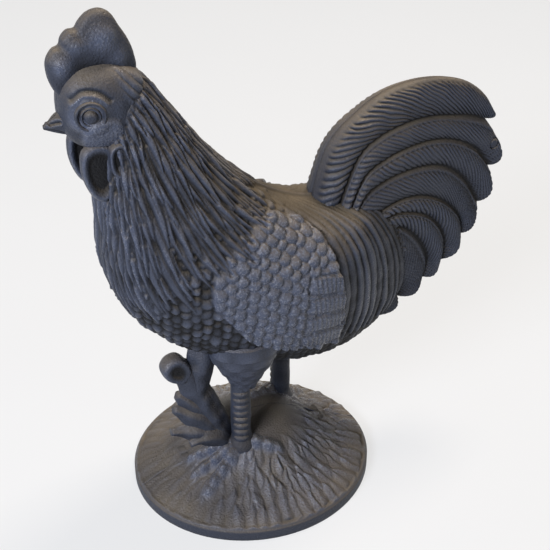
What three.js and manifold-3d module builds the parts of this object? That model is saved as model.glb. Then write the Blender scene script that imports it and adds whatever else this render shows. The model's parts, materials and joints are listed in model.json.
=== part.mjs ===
import * as THREE from 'three';
import { mergeVertices } from 'three/addons/utils/BufferGeometryUtils.js';
import Module from 'manifold-3d';

const wasm = await Module();
wasm.setup();

// A cast-iron rooster on a grassy mound. It is cast in two hollow halves that meet on the plane Y = 0.
// Sizes are in millimetres. The bird looks along -X, its left side is -Y and the mound stands on Z = 0.

// Castings and fits
const wall = 4;
const partingGap = 0.3;
const fitGap = 0.3;
const seatGap = 0.2;
const partingFace = partingGap / 2;

// Mound: an oval dome over a short upright rim, open underneath
const moundLength = 143.4;
const moundWidth = 134;
const moundRim = 6.5;
const moundRise = 34.5;
// Dome profile as [share of the radius, share of the rise above the rim]
const moundProfile = [[0, 1], [0.2, 0.95], [0.4, 0.74], [0.53, 0.52], [0.75, 0.26], [0.93, 0.09], [1, 0]];

// Body from the head to the rump, as [back X, back Z, breast X, breast Z, half width]
const bodyStations = [
  [-57, 268, -82, 236, 15.5],
  [-49, 259, -81, 223, 19],
  [-40, 246, -82, 208, 23],
  [-29, 230, -82, 190, 28],
  [-16, 213, -82, 170, 33],
  [-1, 198, -78, 149, 37],
  [15, 187, -67, 128, 40],
  [31, 180, -50, 110, 41],
  [47, 177, -27, 95, 41],
  [63, 175, -3, 84, 38],
  [76, 169, 22, 75, 31],
  [87, 159, 46, 71, 23],
  [95, 146, 65, 74, 16],
  [99, 132, 78, 79, 11],
  [101, 119, 88, 86, 7],
];
const bodyRoundness = 2.2;
const bodyRings = 28;
const bodySides = 28;
const cavityRings = 14;
const cavitySides = 20;
const cavityFrom = 0.16;
const cavityTo = 0.9;

// Folded wing: a low plate on each flank, highest along its hem and rear edge, as [X, Z] corners
const wingLift = 2.8;
const wingRoot = 2.5;
const wingFrontLow = [-33, 137];
const wingHem = [43, 95];
const wingTip = [28, 171];
const wingFrontHigh = [-22, 182];
const wingSag = 8;
const wingCrown = 6;
const wingColumns = 12;
const wingRows = 9;

// Head, beak, comb, eyes, wattles and ear lobes
const headCentre = [-77, 251];
const headSize = [38, 33, 49];
const headRoundness = 2.4;
const beakRoot = [-80, 253];
const beakTip = [-104, 247.8];
const beakRootSize = [28, 26];
const beakTipSize = 2.2;
const combThickness = 12;
const combCrown = 5;
const combFacets = 52;
const combLayers = 6;
const combOutline = [
  [-92, 258], [-97, 265], [-99.5, 273], [-99.2, 280], [-96, 284.6], [-92.6, 286.2], [-91.3, 289.6],
  [-88.2, 292.6], [-84.4, 293], [-82.3, 295.8], [-78.2, 299.3], [-72.5, 300.4], [-67.2, 298],
  [-62.8, 291.5], [-58.6, 284.5], [-55.8, 277], [-56, 269], [-66, 258], [-80, 254],
];
const eyePlace = [-84.8, 257.6];
const eyeRing = 7;
const eyeBall = 3.8;
const eyeProud = 2;
const wattleTop = [-82, 236];
const wattleLength = 24;
const wattleWidth = 16;
const wattleThickness = 6;
const wattleSpread = 10.5;
const lobeTop = [-73, 238];
const lobeLength = 13;
const lobeWidth = 9;
const lobeThickness = 5;
const lobeSpread = 15.5;

// Legs. The left leg is ahead, the right leg is behind.
const leftLeg = [-14.5, -18];
const rightLeg = [28, 17];
const shankRadius = 6.4;
const scuteDepth = 0.8;
const scutePitch = 5.2;
const kneeHeight = 84;
const thighShift = 2.5;
const thighStretch = 1.15;
// Thigh from the knee up into the body, as [height above the knee, radius]
const thighProfile = [[-3, 5.8], [0, 7.6], [3, 9.6], [7, 11], [13, 12], [24, 12]];
const legBury = 6;
const toeRadius = 4.4;
const toeTipRadius = 2.2;
// Toe tips as [X, Y] from the foot of their leg
const leftToes = [[-28, 21], [-31, 8], [-31, -12], [20, -11]];
const rightToes = [[-28, 12], [-26, -8], [20, 11]];

// Plant between the legs, as blades: points [X, Y, Z] and [width, thickness] at each point
const plantBlades = [
  {
    path: [[-24, -10, 32], [-30, -10, 56], [-38, -9, 78], [-48, -8, 90]],
    sizes: [[12, 11], [14, 10], [18, 11], [13, 11]],
  },
  {
    path: [[-37, -9, 70], [-35, -9, 88], [-30, -8, 106]],
    sizes: [[13, 10], [15.5, 11], [18, 12]],
  },
  {
    path: [[-24, -10, 32], [-31, -10, 43], [-39, -9, 52], [-49, -7, 62]],
    sizes: [[10, 10], [12, 8], [10, 7], [3, 3]],
  },
  {
    path: [[-25, -10, 31], [-34, -11, 37], [-43, -10, 42], [-52, -8, 48]],
    sizes: [[10, 10], [11, 8], [8, 6], [2.5, 2.5]],
  },
];
const plantKnob = { centre: [-50, -8, 94], size: [14, 12, 15] };

// Tail: grooves between the feathers from the root out, as [X, Z], from the top edge to the lowest one
const tailGrooves = [
  [[36, 172], [47, 206], [63, 221], [82, 230.5], [108, 232.5], [132, 226], [147, 214], [153, 203]],
  [[46, 166], [62, 200], [74, 207], [92, 211], [108, 211], [124, 208], [137, 205], [148, 200]],
  [[50, 160], [64, 188], [78, 194], [94, 197], [110, 197], [126, 193], [141, 184], [153, 169]],
  [[52, 150], [62, 175], [76, 181], [92, 183], [108, 182], [122, 177], [136, 165], [148, 146]],
  [[54, 142], [66, 160], [80, 165], [96, 166], [112, 161], [125, 152], [134, 141], [137, 127]],
  [[56, 134], [70, 156], [82, 159], [96, 156], [110, 149], [120, 138], [125, 126], [123, 112]],
  [[58, 126], [70, 150], [82, 151], [92, 147], [102, 138], [110, 127], [114, 117], [111, 104]],
  [[58, 118], [66, 140], [74, 140], [80, 132], [85, 122], [89, 112], [93, 103], [96, 94]],
  [[56, 108], [62, 122], [67, 120], [70, 114], [73, 107], [75, 101], [77, 93], [80, 83]],
];
const featherTips = [
  [153, 207], [163, 176], [156, 152], [145, 131], [134, 115], [119, 103], [107, 93], [94, 85],
];
const featherSteps = 3;
const tailRows = 12;
const tailRootHalf = 20;
const tailTipHalf = 4.6;
const tailEdgeHalf = 2.2;
const featherRidge = 2.2;
const tailCoreAcross = [0.2, 0.8];
const tailCoreAlong = [0.05, 0.62];
const tailCoreLeast = 0.8;
const tailCoreRows = 6;
const tailCoreColumns = 8;

// Fasteners
const screwRadius = 3;
const screwHeadRadius = 5.5;
const screwHeadHeight = 3.2;
const screwSlotWidth = 1.2;
const screwSlotDepth = 1.4;
const screwSink = 5;
const screwGrip = 14;
const bossRadius = 8.5;
const frontScrewStation = 4 / 14;
const rearScrewStation = 8.5 / 14;
const pipRadius = 2.5;
const pipLength = 3;
const neckPipStation = 2.4 / 14;
const tailPipPlace = [0.3, 0.7];
const rivetPlace = [0.19, 0.9];
const rivetRadius = 1.8;
const rivetHeadRadius = 3.2;
const rivetHeadHeight = 1.3;
const lugSpacing = 76;
const lugThickness = 6;
const lugRadius = 8;
const lugDrop = 9;
const boltRadius = 2.5;
const boltHeadRadius = 4.6;
const boltHeadHeight = 3.5;
const boltOverrun = 2;
const washerRadius = 5.2;
const washerThickness = 1;
const nutHeight = 4;

// Facet counts
const moundRings = 7;
const moundSides = 38;
const roundSides = 18;

function solidOf(geometry) {
  const bare = geometry.index ? geometry.toNonIndexed() : geometry.clone();
  bare.deleteAttribute('normal');
  bare.deleteAttribute('uv');
  const merged = mergeVertices(bare, 1e-4);
  const points = merged.attributes.position.array;
  const triangles = [];
  let volume = 0;
  const corner = (index) => new THREE.Vector3().fromArray(points, 3 * index);
  for (let i = 0; i < merged.index.count; i += 3) {
    const [a, b, c] = [0, 1, 2].map((k) => merged.index.getX(i + k));
    if (a === b || b === c || c === a) continue;
    triangles.push([a, b, c]);
    volume += corner(a).dot(corner(b).cross(corner(c)));
  }
  const facing = volume < 0 ? triangles.map(([a, b, c]) => [a, c, b]) : triangles;
  const vertProperties = Float32Array.from(points);
  const triVerts = Uint32Array.from(facing.flat());
  return new wasm.Manifold(new wasm.Mesh({ numProp: 3, vertProperties, triVerts }));
}

function geometryOf(solid) {
  const mesh = solid.getMesh();
  const geometry = new THREE.BufferGeometry();
  geometry.setAttribute('position', new THREE.BufferAttribute(Float32Array.from(mesh.vertProperties), 3));
  geometry.setIndex(Array.from(mesh.triVerts));
  geometry.computeVertexNormals();
  return geometry;
}

function geometryFrom(points, triangles) {
  const geometry = new THREE.BufferGeometry();
  const flat = points.flatMap((point) => [point.x, point.y, point.z]);
  geometry.setAttribute('position', new THREE.Float32BufferAttribute(flat, 3));
  geometry.setIndex(triangles);
  return geometry;
}

const joined = (solids) => solids.reduce((whole, next) => whole.add(next));

// A solid through a row of closed rings, with a flat cap at each end
function loft(rings) {
  const sides = rings[0].length;
  const points = rings.flat();
  const triangles = [];
  for (let i = 0; i + 1 < rings.length; i++) {
    for (let j = 0; j < sides; j++) {
      const a = i * sides + j;
      const b = i * sides + ((j + 1) % sides);
      triangles.push(a, b, b + sides, a, b + sides, a + sides);
    }
  }
  [0, rings.length - 1].forEach((row, end) => {
    const middle = new THREE.Vector3();
    rings[row].forEach((point) => middle.addScaledVector(point, 1 / sides));
    const centre = points.push(middle) - 1;
    for (let j = 0; j < sides; j++) {
      const a = row * sides + j;
      const b = row * sides + ((j + 1) % sides);
      triangles.push(centre, end ? a : b, end ? b : a);
    }
  });
  return solidOf(geometryFrom(points, triangles));
}

// Rows of points, each from its share of the way through the rows and through the columns
function gridOf(rows, columns, pointAt) {
  return Array.from({ length: rows + 1 }, (_, i) =>
    Array.from({ length: columns + 1 }, (__, j) => pointAt(i / rows, j / columns)));
}

// A solid between a near and a far grid of points, closed along its four borders
function thickSheet(near, far) {
  const rows = near.length;
  const columns = near[0].length;
  const points = [...near.flat(), ...far.flat()];
  const at = (side, i, j) => (side * rows + i) * columns + j;
  const triangles = [];
  const quad = (a, b, c, d) => triangles.push(a, b, c, a, c, d);
  for (let i = 0; i + 1 < rows; i++) {
    for (let j = 0; j + 1 < columns; j++) {
      quad(at(0, i, j), at(0, i, j + 1), at(0, i + 1, j + 1), at(0, i + 1, j));
      quad(at(1, i, j), at(1, i + 1, j), at(1, i + 1, j + 1), at(1, i, j + 1));
    }
    quad(at(0, i, 0), at(0, i + 1, 0), at(1, i + 1, 0), at(1, i, 0));
    quad(at(0, i, columns - 1), at(1, i, columns - 1), at(1, i + 1, columns - 1), at(0, i + 1, columns - 1));
  }
  for (let j = 0; j + 1 < columns; j++) {
    quad(at(0, 0, j), at(1, 0, j), at(1, 0, j + 1), at(0, 0, j + 1));
    quad(at(0, rows - 1, j), at(0, rows - 1, j + 1), at(1, rows - 1, j + 1), at(1, rows - 1, j));
  }
  return solidOf(geometryFrom(points, triangles));
}

function ball([x, y, z], [length, width, height], sides = roundSides) {
  const geometry = new THREE.SphereGeometry(0.5, sides, Math.round(sides * 0.7));
  geometry.scale(length, width, height);
  geometry.translate(x, y, z);
  return solidOf(geometry);
}

// A round bar along Y between two faces
function barAlongY(x, z, radius, fromY, toY, sides = roundSides) {
  const geometry = new THREE.CylinderGeometry(radius, radius, toY - fromY, sides);
  geometry.translate(x, (fromY + toY) / 2, z);
  return solidOf(geometry);
}

// A smooth curve in the X-Z plane
function planar(points, closed = false) {
  return new THREE.CatmullRomCurve3(points.map(([x, z]) => new THREE.Vector3(x, 0, z)), closed, 'centripetal');
}

// Body sections
const backLine = planar(bodyStations.map(([x, z]) => [x, z]));
const breastLine = planar(bodyStations.map(([, , x, z]) => [x, z]));
const widthLine = planar(bodyStations.map((station, index) => [station[4], index]));

function bodySection(u) {
  const back = backLine.getPoint(u);
  const breast = breastLine.getPoint(u);
  const middle = back.clone().add(breast).multiplyScalar(0.5);
  return { middle, rise: back.sub(middle), halfWidth: widthLine.getPoint(u).x };
}

// Half width of the body at a place on its flank
function flankHalf(x, z) {
  const offset = (u) => {
    const { middle, rise } = bodySection(u);
    return (x - middle.x) * rise.z - (z - middle.z) * rise.x;
  };
  let [low, high] = [0, 1];
  for (let i = 0; i < 24; i++) {
    const half = (low + high) / 2;
    if (offset(half) < 0) high = half;
    else low = half;
  }
  const { middle, rise, halfWidth } = bodySection(low);
  const share = Math.min(1, new THREE.Vector3(x, 0, z).sub(middle).dot(rise) / rise.lengthSq());
  return halfWidth * Math.max(0, 1 - Math.abs(share) ** bodyRoundness) ** (1 / bodyRoundness);
}

// A wing plate follows the flank, fades into it at the front and is lower along its top
function wingSolid(side) {
  const grid = (proud) => gridOf(wingRows, wingColumns, (up, back) => {
    const low = new THREE.Vector2(...wingFrontLow).lerp(new THREE.Vector2(...wingHem), back);
    const high = new THREE.Vector2(...wingFrontHigh).lerp(new THREE.Vector2(...wingTip), back);
    const place = low.lerp(high, up);
    place.y += Math.sin(Math.PI * back) * THREE.MathUtils.lerp(-wingSag, wingCrown, up);
    const fade = THREE.MathUtils.smoothstep(back, 0, 0.5) * (1 - 0.45 * THREE.MathUtils.smoothstep(up, 0.5, 1));
    const lift = proud ? (wingLift + 1) * fade - 1 : -wingRoot;
    return new THREE.Vector3(place.x, side * (flankHalf(place.x, place.y) + lift), place.y);
  });
  return thickSheet(grid(true), grid(false));
}

function bodySolid(inset, from, to, rings, sides) {
  const power = 2 / bodyRoundness;
  const bulge = (value) => Math.sign(value) * Math.abs(value) ** power;
  const rows = [];
  for (let i = 0; i <= rings; i++) {
    const { middle, rise, halfWidth } = bodySection(from + (to - from) * i / rings);
    const spine = rise.clone().setLength(rise.length() - inset);
    const ring = [];
    for (let j = 0; j < sides; j++) {
      const angle = 2 * Math.PI * j / sides;
      const point = middle.clone().addScaledVector(spine, bulge(Math.cos(angle)));
      point.y = (halfWidth - inset) * bulge(Math.sin(angle));
      ring.push(point);
    }
    rows.push(ring);
  }
  return loft(rows);
}

// Head: a ball drawn out towards a box, so that the crown and the cheeks are full
function headSolid() {
  const geometry = new THREE.SphereGeometry(1, roundSides, 12);
  const place = geometry.attributes.position;
  for (let i = 0; i < place.count; i++) {
    const point = new THREE.Vector3().fromBufferAttribute(place, i);
    const norm = point.toArray().reduce((sum, value) => sum + Math.abs(value) ** headRoundness, 0);
    point.multiplyScalar(norm ** (-1 / headRoundness));
    place.setXYZ(i, point.x, point.y, point.z);
  }
  geometry.scale(...headSize.map((size) => size / 2));
  geometry.translate(headCentre[0], 0, headCentre[1]);
  return solidOf(geometry);
}

// Beak: concave on top, full below
function beakSolid() {
  const rings = [];
  const steps = 5;
  for (let i = 0; i <= steps; i++) {
    const share = i / steps;
    const x = THREE.MathUtils.lerp(beakRoot[0], beakTip[0], share);
    const z = THREE.MathUtils.lerp(beakRoot[1], beakTip[1], share ** 1.3);
    const width = THREE.MathUtils.lerp(beakTipSize, beakRootSize[0], (1 - share) ** 1.1);
    const ring = [];
    for (let j = 0; j < roundSides; j++) {
      const angle = 2 * Math.PI * j / roundSides;
      const taper = Math.cos(angle) > 0 ? (1 - share) ** 1.25 : 1 - share ** 1.6;
      const height = THREE.MathUtils.lerp(beakTipSize, beakRootSize[1], taper);
      ring.push(new THREE.Vector3(x, width / 2 * Math.sin(angle), z + height / 2 * Math.cos(angle)));
    }
    rings.push(ring);
  }
  return loft(rings);
}

// The comb swells towards its middle plane: layers of its outline, drawn in towards each face
function combSolid() {
  const outline = planar(combOutline, true).getPoints(combFacets).slice(0, combFacets);
  const middle = new THREE.Vector3();
  outline.forEach((point) => middle.addScaledVector(point, 1 / combFacets));
  const rings = [];
  for (let i = 0; i <= combLayers; i++) {
    const angle = Math.PI * (i / combLayers - 0.5);
    rings.push(outline.map((point) => {
      const inward = middle.clone().sub(point).setLength(combCrown * (1 - Math.cos(angle)));
      return point.clone().add(inward).setY(combThickness / 2 * Math.sin(angle));
    }));
  }
  return loft(rings);
}

// A ringed eye turned about the Y axis, with its back inside the head
function eyeSolid(side) {
  const ring = [[eyeRing, -eyeRing], [eyeRing, 0.3], [eyeRing - 0.8, 1.2], [eyeRing - 2.2, 0.1]];
  const pupil = [[eyeBall + 0.6, 0.1], [eyeBall, 0.8], [eyeBall * 0.5, eyeProud], [0, eyeProud + 0.4]];
  const profile = [[0, -eyeRing], ...ring, ...pupil];
  const geometry = new THREE.LatheGeometry(profile.map(([x, y]) => new THREE.Vector2(x, y)), 16);
  const [x, z] = [eyePlace[0] - headCentre[0], eyePlace[1] - headCentre[1]];
  const [a, b, c] = headSize.map((size) => size / 2);
  const slope = (value, reach) => Math.sign(value) * Math.abs(value / reach) ** (headRoundness - 1) / reach;
  const rest = 1 - Math.abs(x / a) ** headRoundness - Math.abs(z / c) ** headRoundness;
  const y = side * b * rest ** (1 / headRoundness);
  const outward = new THREE.Vector3(slope(x, a), slope(y, b), slope(z, c)).normalize();
  geometry.applyQuaternion(new THREE.Quaternion().setFromUnitVectors(new THREE.Vector3(0, 1, 0), outward));
  geometry.translate(eyePlace[0], y, eyePlace[1]);
  return solidOf(geometry);
}

function flapSolid([x, z], spread, length, width, thickness, side) {
  return ball([x, side * spread, z - length / 2], [width, thickness, length + thickness], 14);
}

// Mound surface
const moundCurve = planar(moundProfile);

function moundHeight(x, y) {
  const reach = Math.min(1, Math.hypot(x / (moundLength / 2), y / (moundWidth / 2)));
  const next = Math.max(1, moundProfile.findIndex(([share]) => share >= reach));
  const [r0, h0] = moundProfile[next - 1];
  const [r1, h1] = moundProfile[next];
  return moundRim + moundRise * THREE.MathUtils.lerp(h0, h1, (reach - r0) / (r1 - r0));
}

function moundSolid(inset, floor) {
  const profile = [new THREE.Vector2(0, floor), new THREE.Vector2(1, floor)];
  for (let i = 0; i <= moundRings; i++) {
    const point = moundCurve.getPoint(1 - i / moundRings);
    profile.push(new THREE.Vector2(point.x, moundRim + moundRise * point.z - inset));
  }
  const geometry = new THREE.LatheGeometry(profile, moundSides);
  geometry.rotateX(Math.PI / 2);
  geometry.scale(moundLength / 2 - inset, moundWidth / 2 - inset, 1);
  return solidOf(geometry);
}

// Legs and feet
function legSolid([x, y]) {
  const foot = moundHeight(x, y);
  const profile = [new THREE.Vector2(0, foot - legBury), new THREE.Vector2(shankRadius + 1, foot - legBury)];
  const scutes = Math.max(1, Math.round((kneeHeight - foot) / scutePitch));
  for (let i = 0; i <= scutes; i++) {
    const z = foot + (kneeHeight - foot) * i / scutes;
    profile.push(new THREE.Vector2(shankRadius - scuteDepth, z));
    if (i < scutes) profile.push(new THREE.Vector2(shankRadius, z + scutePitch / 2));
  }
  profile.push(new THREE.Vector2(0, kneeHeight));
  const geometry = new THREE.LatheGeometry(profile, 12);
  geometry.rotateX(Math.PI / 2);
  geometry.translate(x, y, 0);
  const thighPoints = thighProfile.map(([rise, radius]) => new THREE.Vector2(radius, kneeHeight + rise));
  const [first, last] = [thighPoints[0], thighPoints.at(-1)];
  const thigh = new THREE.LatheGeometry(
    [new THREE.Vector2(0, first.y), ...thighPoints, new THREE.Vector2(0, last.y)], roundSides);
  thigh.rotateX(Math.PI / 2);
  thigh.scale(thighStretch, 1, 1);
  thigh.translate(x + thighShift, y, 0);
  return solidOf(geometry).add(solidOf(thigh));
}

function toeSolid([footX, footY], [reachX, reachY]) {
  const steps = 5;
  const sides = 8;
  const across = new THREE.Vector3(-reachY, reachX, 0).normalize();
  const rings = [];
  for (let i = 0; i <= steps; i++) {
    const share = i / steps;
    const x = footX + reachX * share;
    const y = footY + reachY * share;
    const radius = THREE.MathUtils.lerp(toeRadius, toeTipRadius, share);
    const ring = [];
    for (let j = 0; j < sides; j++) {
      const angle = 2 * Math.PI * j / sides;
      const point = new THREE.Vector3(x, y, moundHeight(x, y) + radius * Math.sin(angle));
      ring.push(point.addScaledVector(across, radius * Math.cos(angle)));
    }
    rings.push(ring);
  }
  return loft(rings);
}

// A leaf blade: lens-shaped sections along a curve, wide in the X-Z plane
function bladeSolid({ path, sizes }) {
  const curve = new THREE.CatmullRomCurve3(path.map(([x, y, z]) => new THREE.Vector3(x, y, z)));
  const sizeCurve = new THREE.CatmullRomCurve3(sizes.map(([width, thick]) => new THREE.Vector3(width, thick, 0)));
  const sideways = new THREE.Vector3(0, 1, 0);
  const steps = 8;
  const sides = 10;
  const rings = [];
  for (let i = 0; i <= steps; i++) {
    const centre = curve.getPoint(i / steps);
    const size = sizeCurve.getPoint(i / steps);
    const across = new THREE.Vector3().crossVectors(curve.getTangent(i / steps), sideways).normalize();
    const ring = [];
    for (let j = 0; j < sides; j++) {
      const angle = 2 * Math.PI * j / sides;
      const point = centre.clone().addScaledVector(across, size.x / 2 * Math.cos(angle));
      ring.push(point.addScaledVector(sideways, size.y / 2 * Math.sin(angle)));
    }
    rings.push(ring);
  }
  return loft(rings);
}

// Tail fan
const grooveCurves = tailGrooves.map((points) => planar(points));
const feathers = tailGrooves.length - 1;

// A place on the tail. Across runs 0 to 1 from the top edge to the lowest groove.
// Along runs 0 to 1 from the root to the tips.
function tailPoint(across, along) {
  const place = Math.min(across * feathers, feathers - 1e-6);
  const feather = Math.floor(place);
  const share = place - feather;
  const crest = Math.sin(Math.PI * share);
  const upper = grooveCurves[feather].getPoint(along);
  const lower = grooveCurves[feather + 1].getPoint(along);
  const point = upper.clone().lerp(lower, share);
  const notch = grooveCurves[feather].getPoint(1).lerp(grooveCurves[feather + 1].getPoint(1), share);
  const tip = new THREE.Vector3(featherTips[feather][0], 0, featherTips[feather][1]);
  point.addScaledVector(tip.sub(notch), crest * THREE.MathUtils.smoothstep(along, 0.6, 1));
  return { point, crest };
}

function tailHalf(across, along, inset = 0) {
  const { crest } = tailPoint(across, along);
  const fan = Math.sin(Math.PI * Math.min(1, across * 0.9 + 0.02)) ** 0.6;
  const body = THREE.MathUtils.lerp(tailRootHalf, tailTipHalf, Math.min(1, along * 1.1) ** 0.75);
  const edge = THREE.MathUtils.lerp(tailEdgeHalf * 2.4, tailEdgeHalf, along);
  return Math.max(edge, edge + (body - edge) * fan + featherRidge * (crest - 0.5)) - inset;
}

function tailSolid() {
  const side = (sign) => gridOf(tailRows, feathers * featherSteps, (along, across) => {
    const { point } = tailPoint(across, along);
    point.y = sign * tailHalf(across, along);
    return point;
  });
  return thickSheet(side(-1), side(1));
}

// The hollow inside the tail root stays a wall away from the outer faces
function tailCore() {
  const side = (sign) => gridOf(tailCoreRows, tailCoreColumns, (i, j) => {
    const across = THREE.MathUtils.lerp(...tailCoreAcross, j);
    const along = THREE.MathUtils.lerp(...tailCoreAlong, i);
    const { point } = tailPoint(across, along);
    point.y = sign * Math.max(tailCoreLeast, tailHalf(across, along, wall + featherRidge / 2));
    return point;
  });
  return thickSheet(side(-1), side(1));
}

// Outside of the whole bird and mound
const outside = joined([
  bodySolid(0, 0, 1, bodyRings, bodySides),
  headSolid(),
  beakSolid(),
  combSolid(),
  ...[-1, 1].flatMap((side) => [
    wingSolid(side),
    eyeSolid(side),
    flapSolid(wattleTop, wattleSpread, wattleLength, wattleWidth, wattleThickness, side),
    flapSolid(lobeTop, lobeSpread, lobeLength, lobeWidth, lobeThickness, side),
  ]),
  tailSolid(),
  legSolid(leftLeg),
  legSolid(rightLeg),
  ...leftToes.map((toe) => toeSolid(leftLeg, toe)),
  ...rightToes.map((toe) => toeSolid(rightLeg, toe)),
  ...plantBlades.map((blade) => bladeSolid(blade)),
  ball(plantKnob.centre, plantKnob.size, 12),
  moundSolid(0, 0),
]);

const hollow = joined([
  bodySolid(wall, cavityFrom, cavityTo, cavityRings, cavitySides),
  tailCore(),
  moundSolid(wall, -moundRim),
]);

// Screw bosses stand on the section centres of the body
const frontScrew = bodySection(frontScrewStation);
const rearScrew = bodySection(rearScrewStation);
const neckPip = bodySection(neckPipStation);
const tailPip = tailPoint(...tailPipPlace).point;
const rivet = tailPoint(...rivetPlace).point;
const rivetHalf = tailHalf(...rivetPlace);
const outermost = 200;

const screwSeat = ({ halfWidth }) => halfWidth - screwSink;
const bosses = [frontScrew, rearScrew, neckPip].map(({ middle }) =>
  barAlongY(middle.x, middle.z, bossRadius, -outermost, outermost));

const lugPlaces = [-lugSpacing / 2, lugSpacing / 2];
const lugRoof = (x) => moundHeight(x, 0) - wall / 2;
const boltHeight = (x) => moundHeight(x, 0) - wall - lugDrop;

function lugSolid(x) {
  const outline = new THREE.Shape();
  outline.moveTo(x - lugRadius, lugRoof(x));
  outline.lineTo(x - lugRadius, boltHeight(x));
  outline.absarc(x, boltHeight(x), lugRadius, Math.PI, 2 * Math.PI, false);
  outline.lineTo(x + lugRadius, lugRoof(x));
  const depth = 2 * (partingFace + lugThickness);
  const geometry = new THREE.ExtrudeGeometry(outline, { depth, bevelEnabled: false, curveSegments: 12 });
  geometry.rotateX(Math.PI / 2);
  geometry.translate(0, depth / 2, 0);
  return solidOf(geometry);
}

const shell = outside.subtract(hollow)
  .add(joined(bosses).intersect(outside))
  .add(joined(lugPlaces.map(lugSolid)).intersect(outside));

function sideBlock(side) {
  const geometry = new THREE.BoxGeometry(4 * outermost, outermost, 4 * outermost);
  geometry.translate(0, side * (outermost / 2 + partingFace), outermost / 2);
  return solidOf(geometry);
}

const boltHoles = joined(lugPlaces.map((x) =>
  barAlongY(x, boltHeight(x), boltRadius + fitGap, -lugRadius, lugRadius)));
const rivetHole = barAlongY(rivet.x, rivet.z, rivetRadius + fitGap, -outermost, outermost);
const rivetSink = (side) => barAlongY(rivet.x, rivet.z, rivetHeadRadius + fitGap,
  side < 0 ? -outermost : rivetHalf - rivetHeadHeight, side < 0 ? rivetHeadHeight - rivetHalf : outermost);

// Left half: blind screw holes and cast-on pips
const pips = joined([neckPip.middle, tailPip].map(({ x, z }) =>
  barAlongY(x, z, pipRadius, -pipLength, pipLength)));
const blindHoles = joined([frontScrew, rearScrew].map(({ middle }) =>
  barAlongY(middle.x, middle.z, screwRadius + fitGap, -screwGrip - 2 * fitGap, outermost)));
const leftHalf = shell.intersect(sideBlock(-1)).subtract(blindHoles).subtract(boltHoles)
  .subtract(rivetHole).subtract(rivetSink(-1)).add(pips);

// Right half: clear screw holes with sunk seats, and sockets for the pips
const sockets = joined([neckPip.middle, tailPip].map(({ x, z }) =>
  barAlongY(x, z, pipRadius + fitGap, -pipLength, pipLength + fitGap)));
const clearHoles = joined([frontScrew, rearScrew].flatMap((screw) => [
  barAlongY(screw.middle.x, screw.middle.z, screwRadius + fitGap, -outermost, outermost),
  barAlongY(screw.middle.x, screw.middle.z, screwHeadRadius + fitGap, screwSeat(screw), outermost),
]));
const rightHalf = shell.intersect(sideBlock(1)).subtract(clearHoles).subtract(boltHoles)
  .subtract(rivetHole).subtract(rivetSink(1)).subtract(sockets);

// Fasteners, each made about its own origin on the parting plane
function screwSolid(seat) {
  const shank = barAlongY(0, 0, screwRadius, -screwGrip, seat + seatGap + screwHeadHeight / 2, 16);
  const head = barAlongY(0, 0, screwHeadRadius, seat + seatGap, seat + seatGap + screwHeadHeight);
  const slot = new THREE.BoxGeometry(4 * screwHeadRadius, 2 * screwSlotDepth, screwSlotWidth);
  slot.translate(0, seat + seatGap + screwHeadHeight, 0);
  return shank.add(head).subtract(solidOf(slot));
}

function rivetSolid() {
  const face = rivetHalf - rivetHeadHeight + seatGap;
  const dome = [[0, -face - rivetHeadHeight], [rivetHeadRadius * 0.6, -face - rivetHeadHeight * 0.85],
    [rivetHeadRadius, -face - 0.3], [rivetHeadRadius, -face], [rivetRadius, -face]];
  const profile = [...dome, ...dome.slice().reverse().map(([x, y]) => [x, -y])];
  return solidOf(new THREE.LatheGeometry(profile.map(([x, y]) => new THREE.Vector2(x, y)), 16));
}

const lugFace = partingFace + lugThickness;
const washerFace = lugFace + seatGap;
const nutFace = washerFace + washerThickness + seatGap;
const headFace = -lugFace - seatGap;

function boltSolid() {
  const head = barAlongY(0, 0, boltHeadRadius, headFace - boltHeadHeight, headFace, 6);
  const shankEnd = nutFace + nutHeight + boltOverrun;
  return head.add(barAlongY(0, 0, boltRadius, headFace - boltHeadHeight / 2, shankEnd, 16));
}

function ringSolid(radius, fromY, height, sides) {
  return barAlongY(0, 0, radius, fromY, fromY + height, sides)
    .subtract(barAlongY(0, 0, boltRadius + fitGap, fromY - height, fromY + 2 * height, 16));
}

// Finishes
const blackPaint = { color: 0x1b1a1c, roughness: 0.48, metalness: 0.35 };
const steel = { color: 0x5d5e60, roughness: 0.42, metalness: 0.9 };
const rooster = new THREE.Group();

function addPiece(name, solid, finish, [x, z] = [0, 0]) {
  const mesh = new THREE.Mesh(geometryOf(solid), new THREE.MeshStandardMaterial(finish));
  mesh.name = name;
  mesh.position.set(x, 0, z);
  rooster.add(mesh);
}

addPiece('left_half_casting', leftHalf, blackPaint);
addPiece('right_half_casting', rightHalf, blackPaint);
Object.entries({ front: frontScrew, rear: rearScrew }).forEach(([end, screw]) => {
  addPiece(`body_screw_${end}`, screwSolid(screwSeat(screw)), steel, [screw.middle.x, screw.middle.z]);
});
addPiece('tail_rivet', rivetSolid(), blackPaint, [rivet.x, rivet.z]);
['front', 'rear'].forEach((end, index) => {
  const x = lugPlaces[index];
  const place = [x, boltHeight(x)];
  addPiece(`base_bolt_${end}`, boltSolid(), steel, place);
  addPiece(`base_washer_${end}`, ringSolid(washerRadius, washerFace, washerThickness, roundSides), steel, place);
  addPiece(`base_nut_${end}`, ringSolid(boltHeadRadius, nutFace, nutHeight, 6), steel, place);
});

// The origin moves to the middle of the footprint box
rooster.updateMatrixWorld(true);
const box = new THREE.Box3().setFromObject(rooster, true);
rooster.position.x = -(box.min.x + box.max.x) / 2;
rooster.position.y = -(box.min.y + box.max.y) / 2;
rooster.updateMatrixWorld(true);

export default rooster;
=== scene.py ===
# %% [markdown]
# A cast-iron rooster on a grassy mound. The real bird is poured in two hollow halves in sand moulds,
# screwed and riveted together, and painted black. The CAD model gives its true size and its fasteners.
# This lesson adds what the sand mould left on the skin: hackle feathers, scales, wing bars, tail barbs,
# shank rings and grass, all as real relief.

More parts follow.
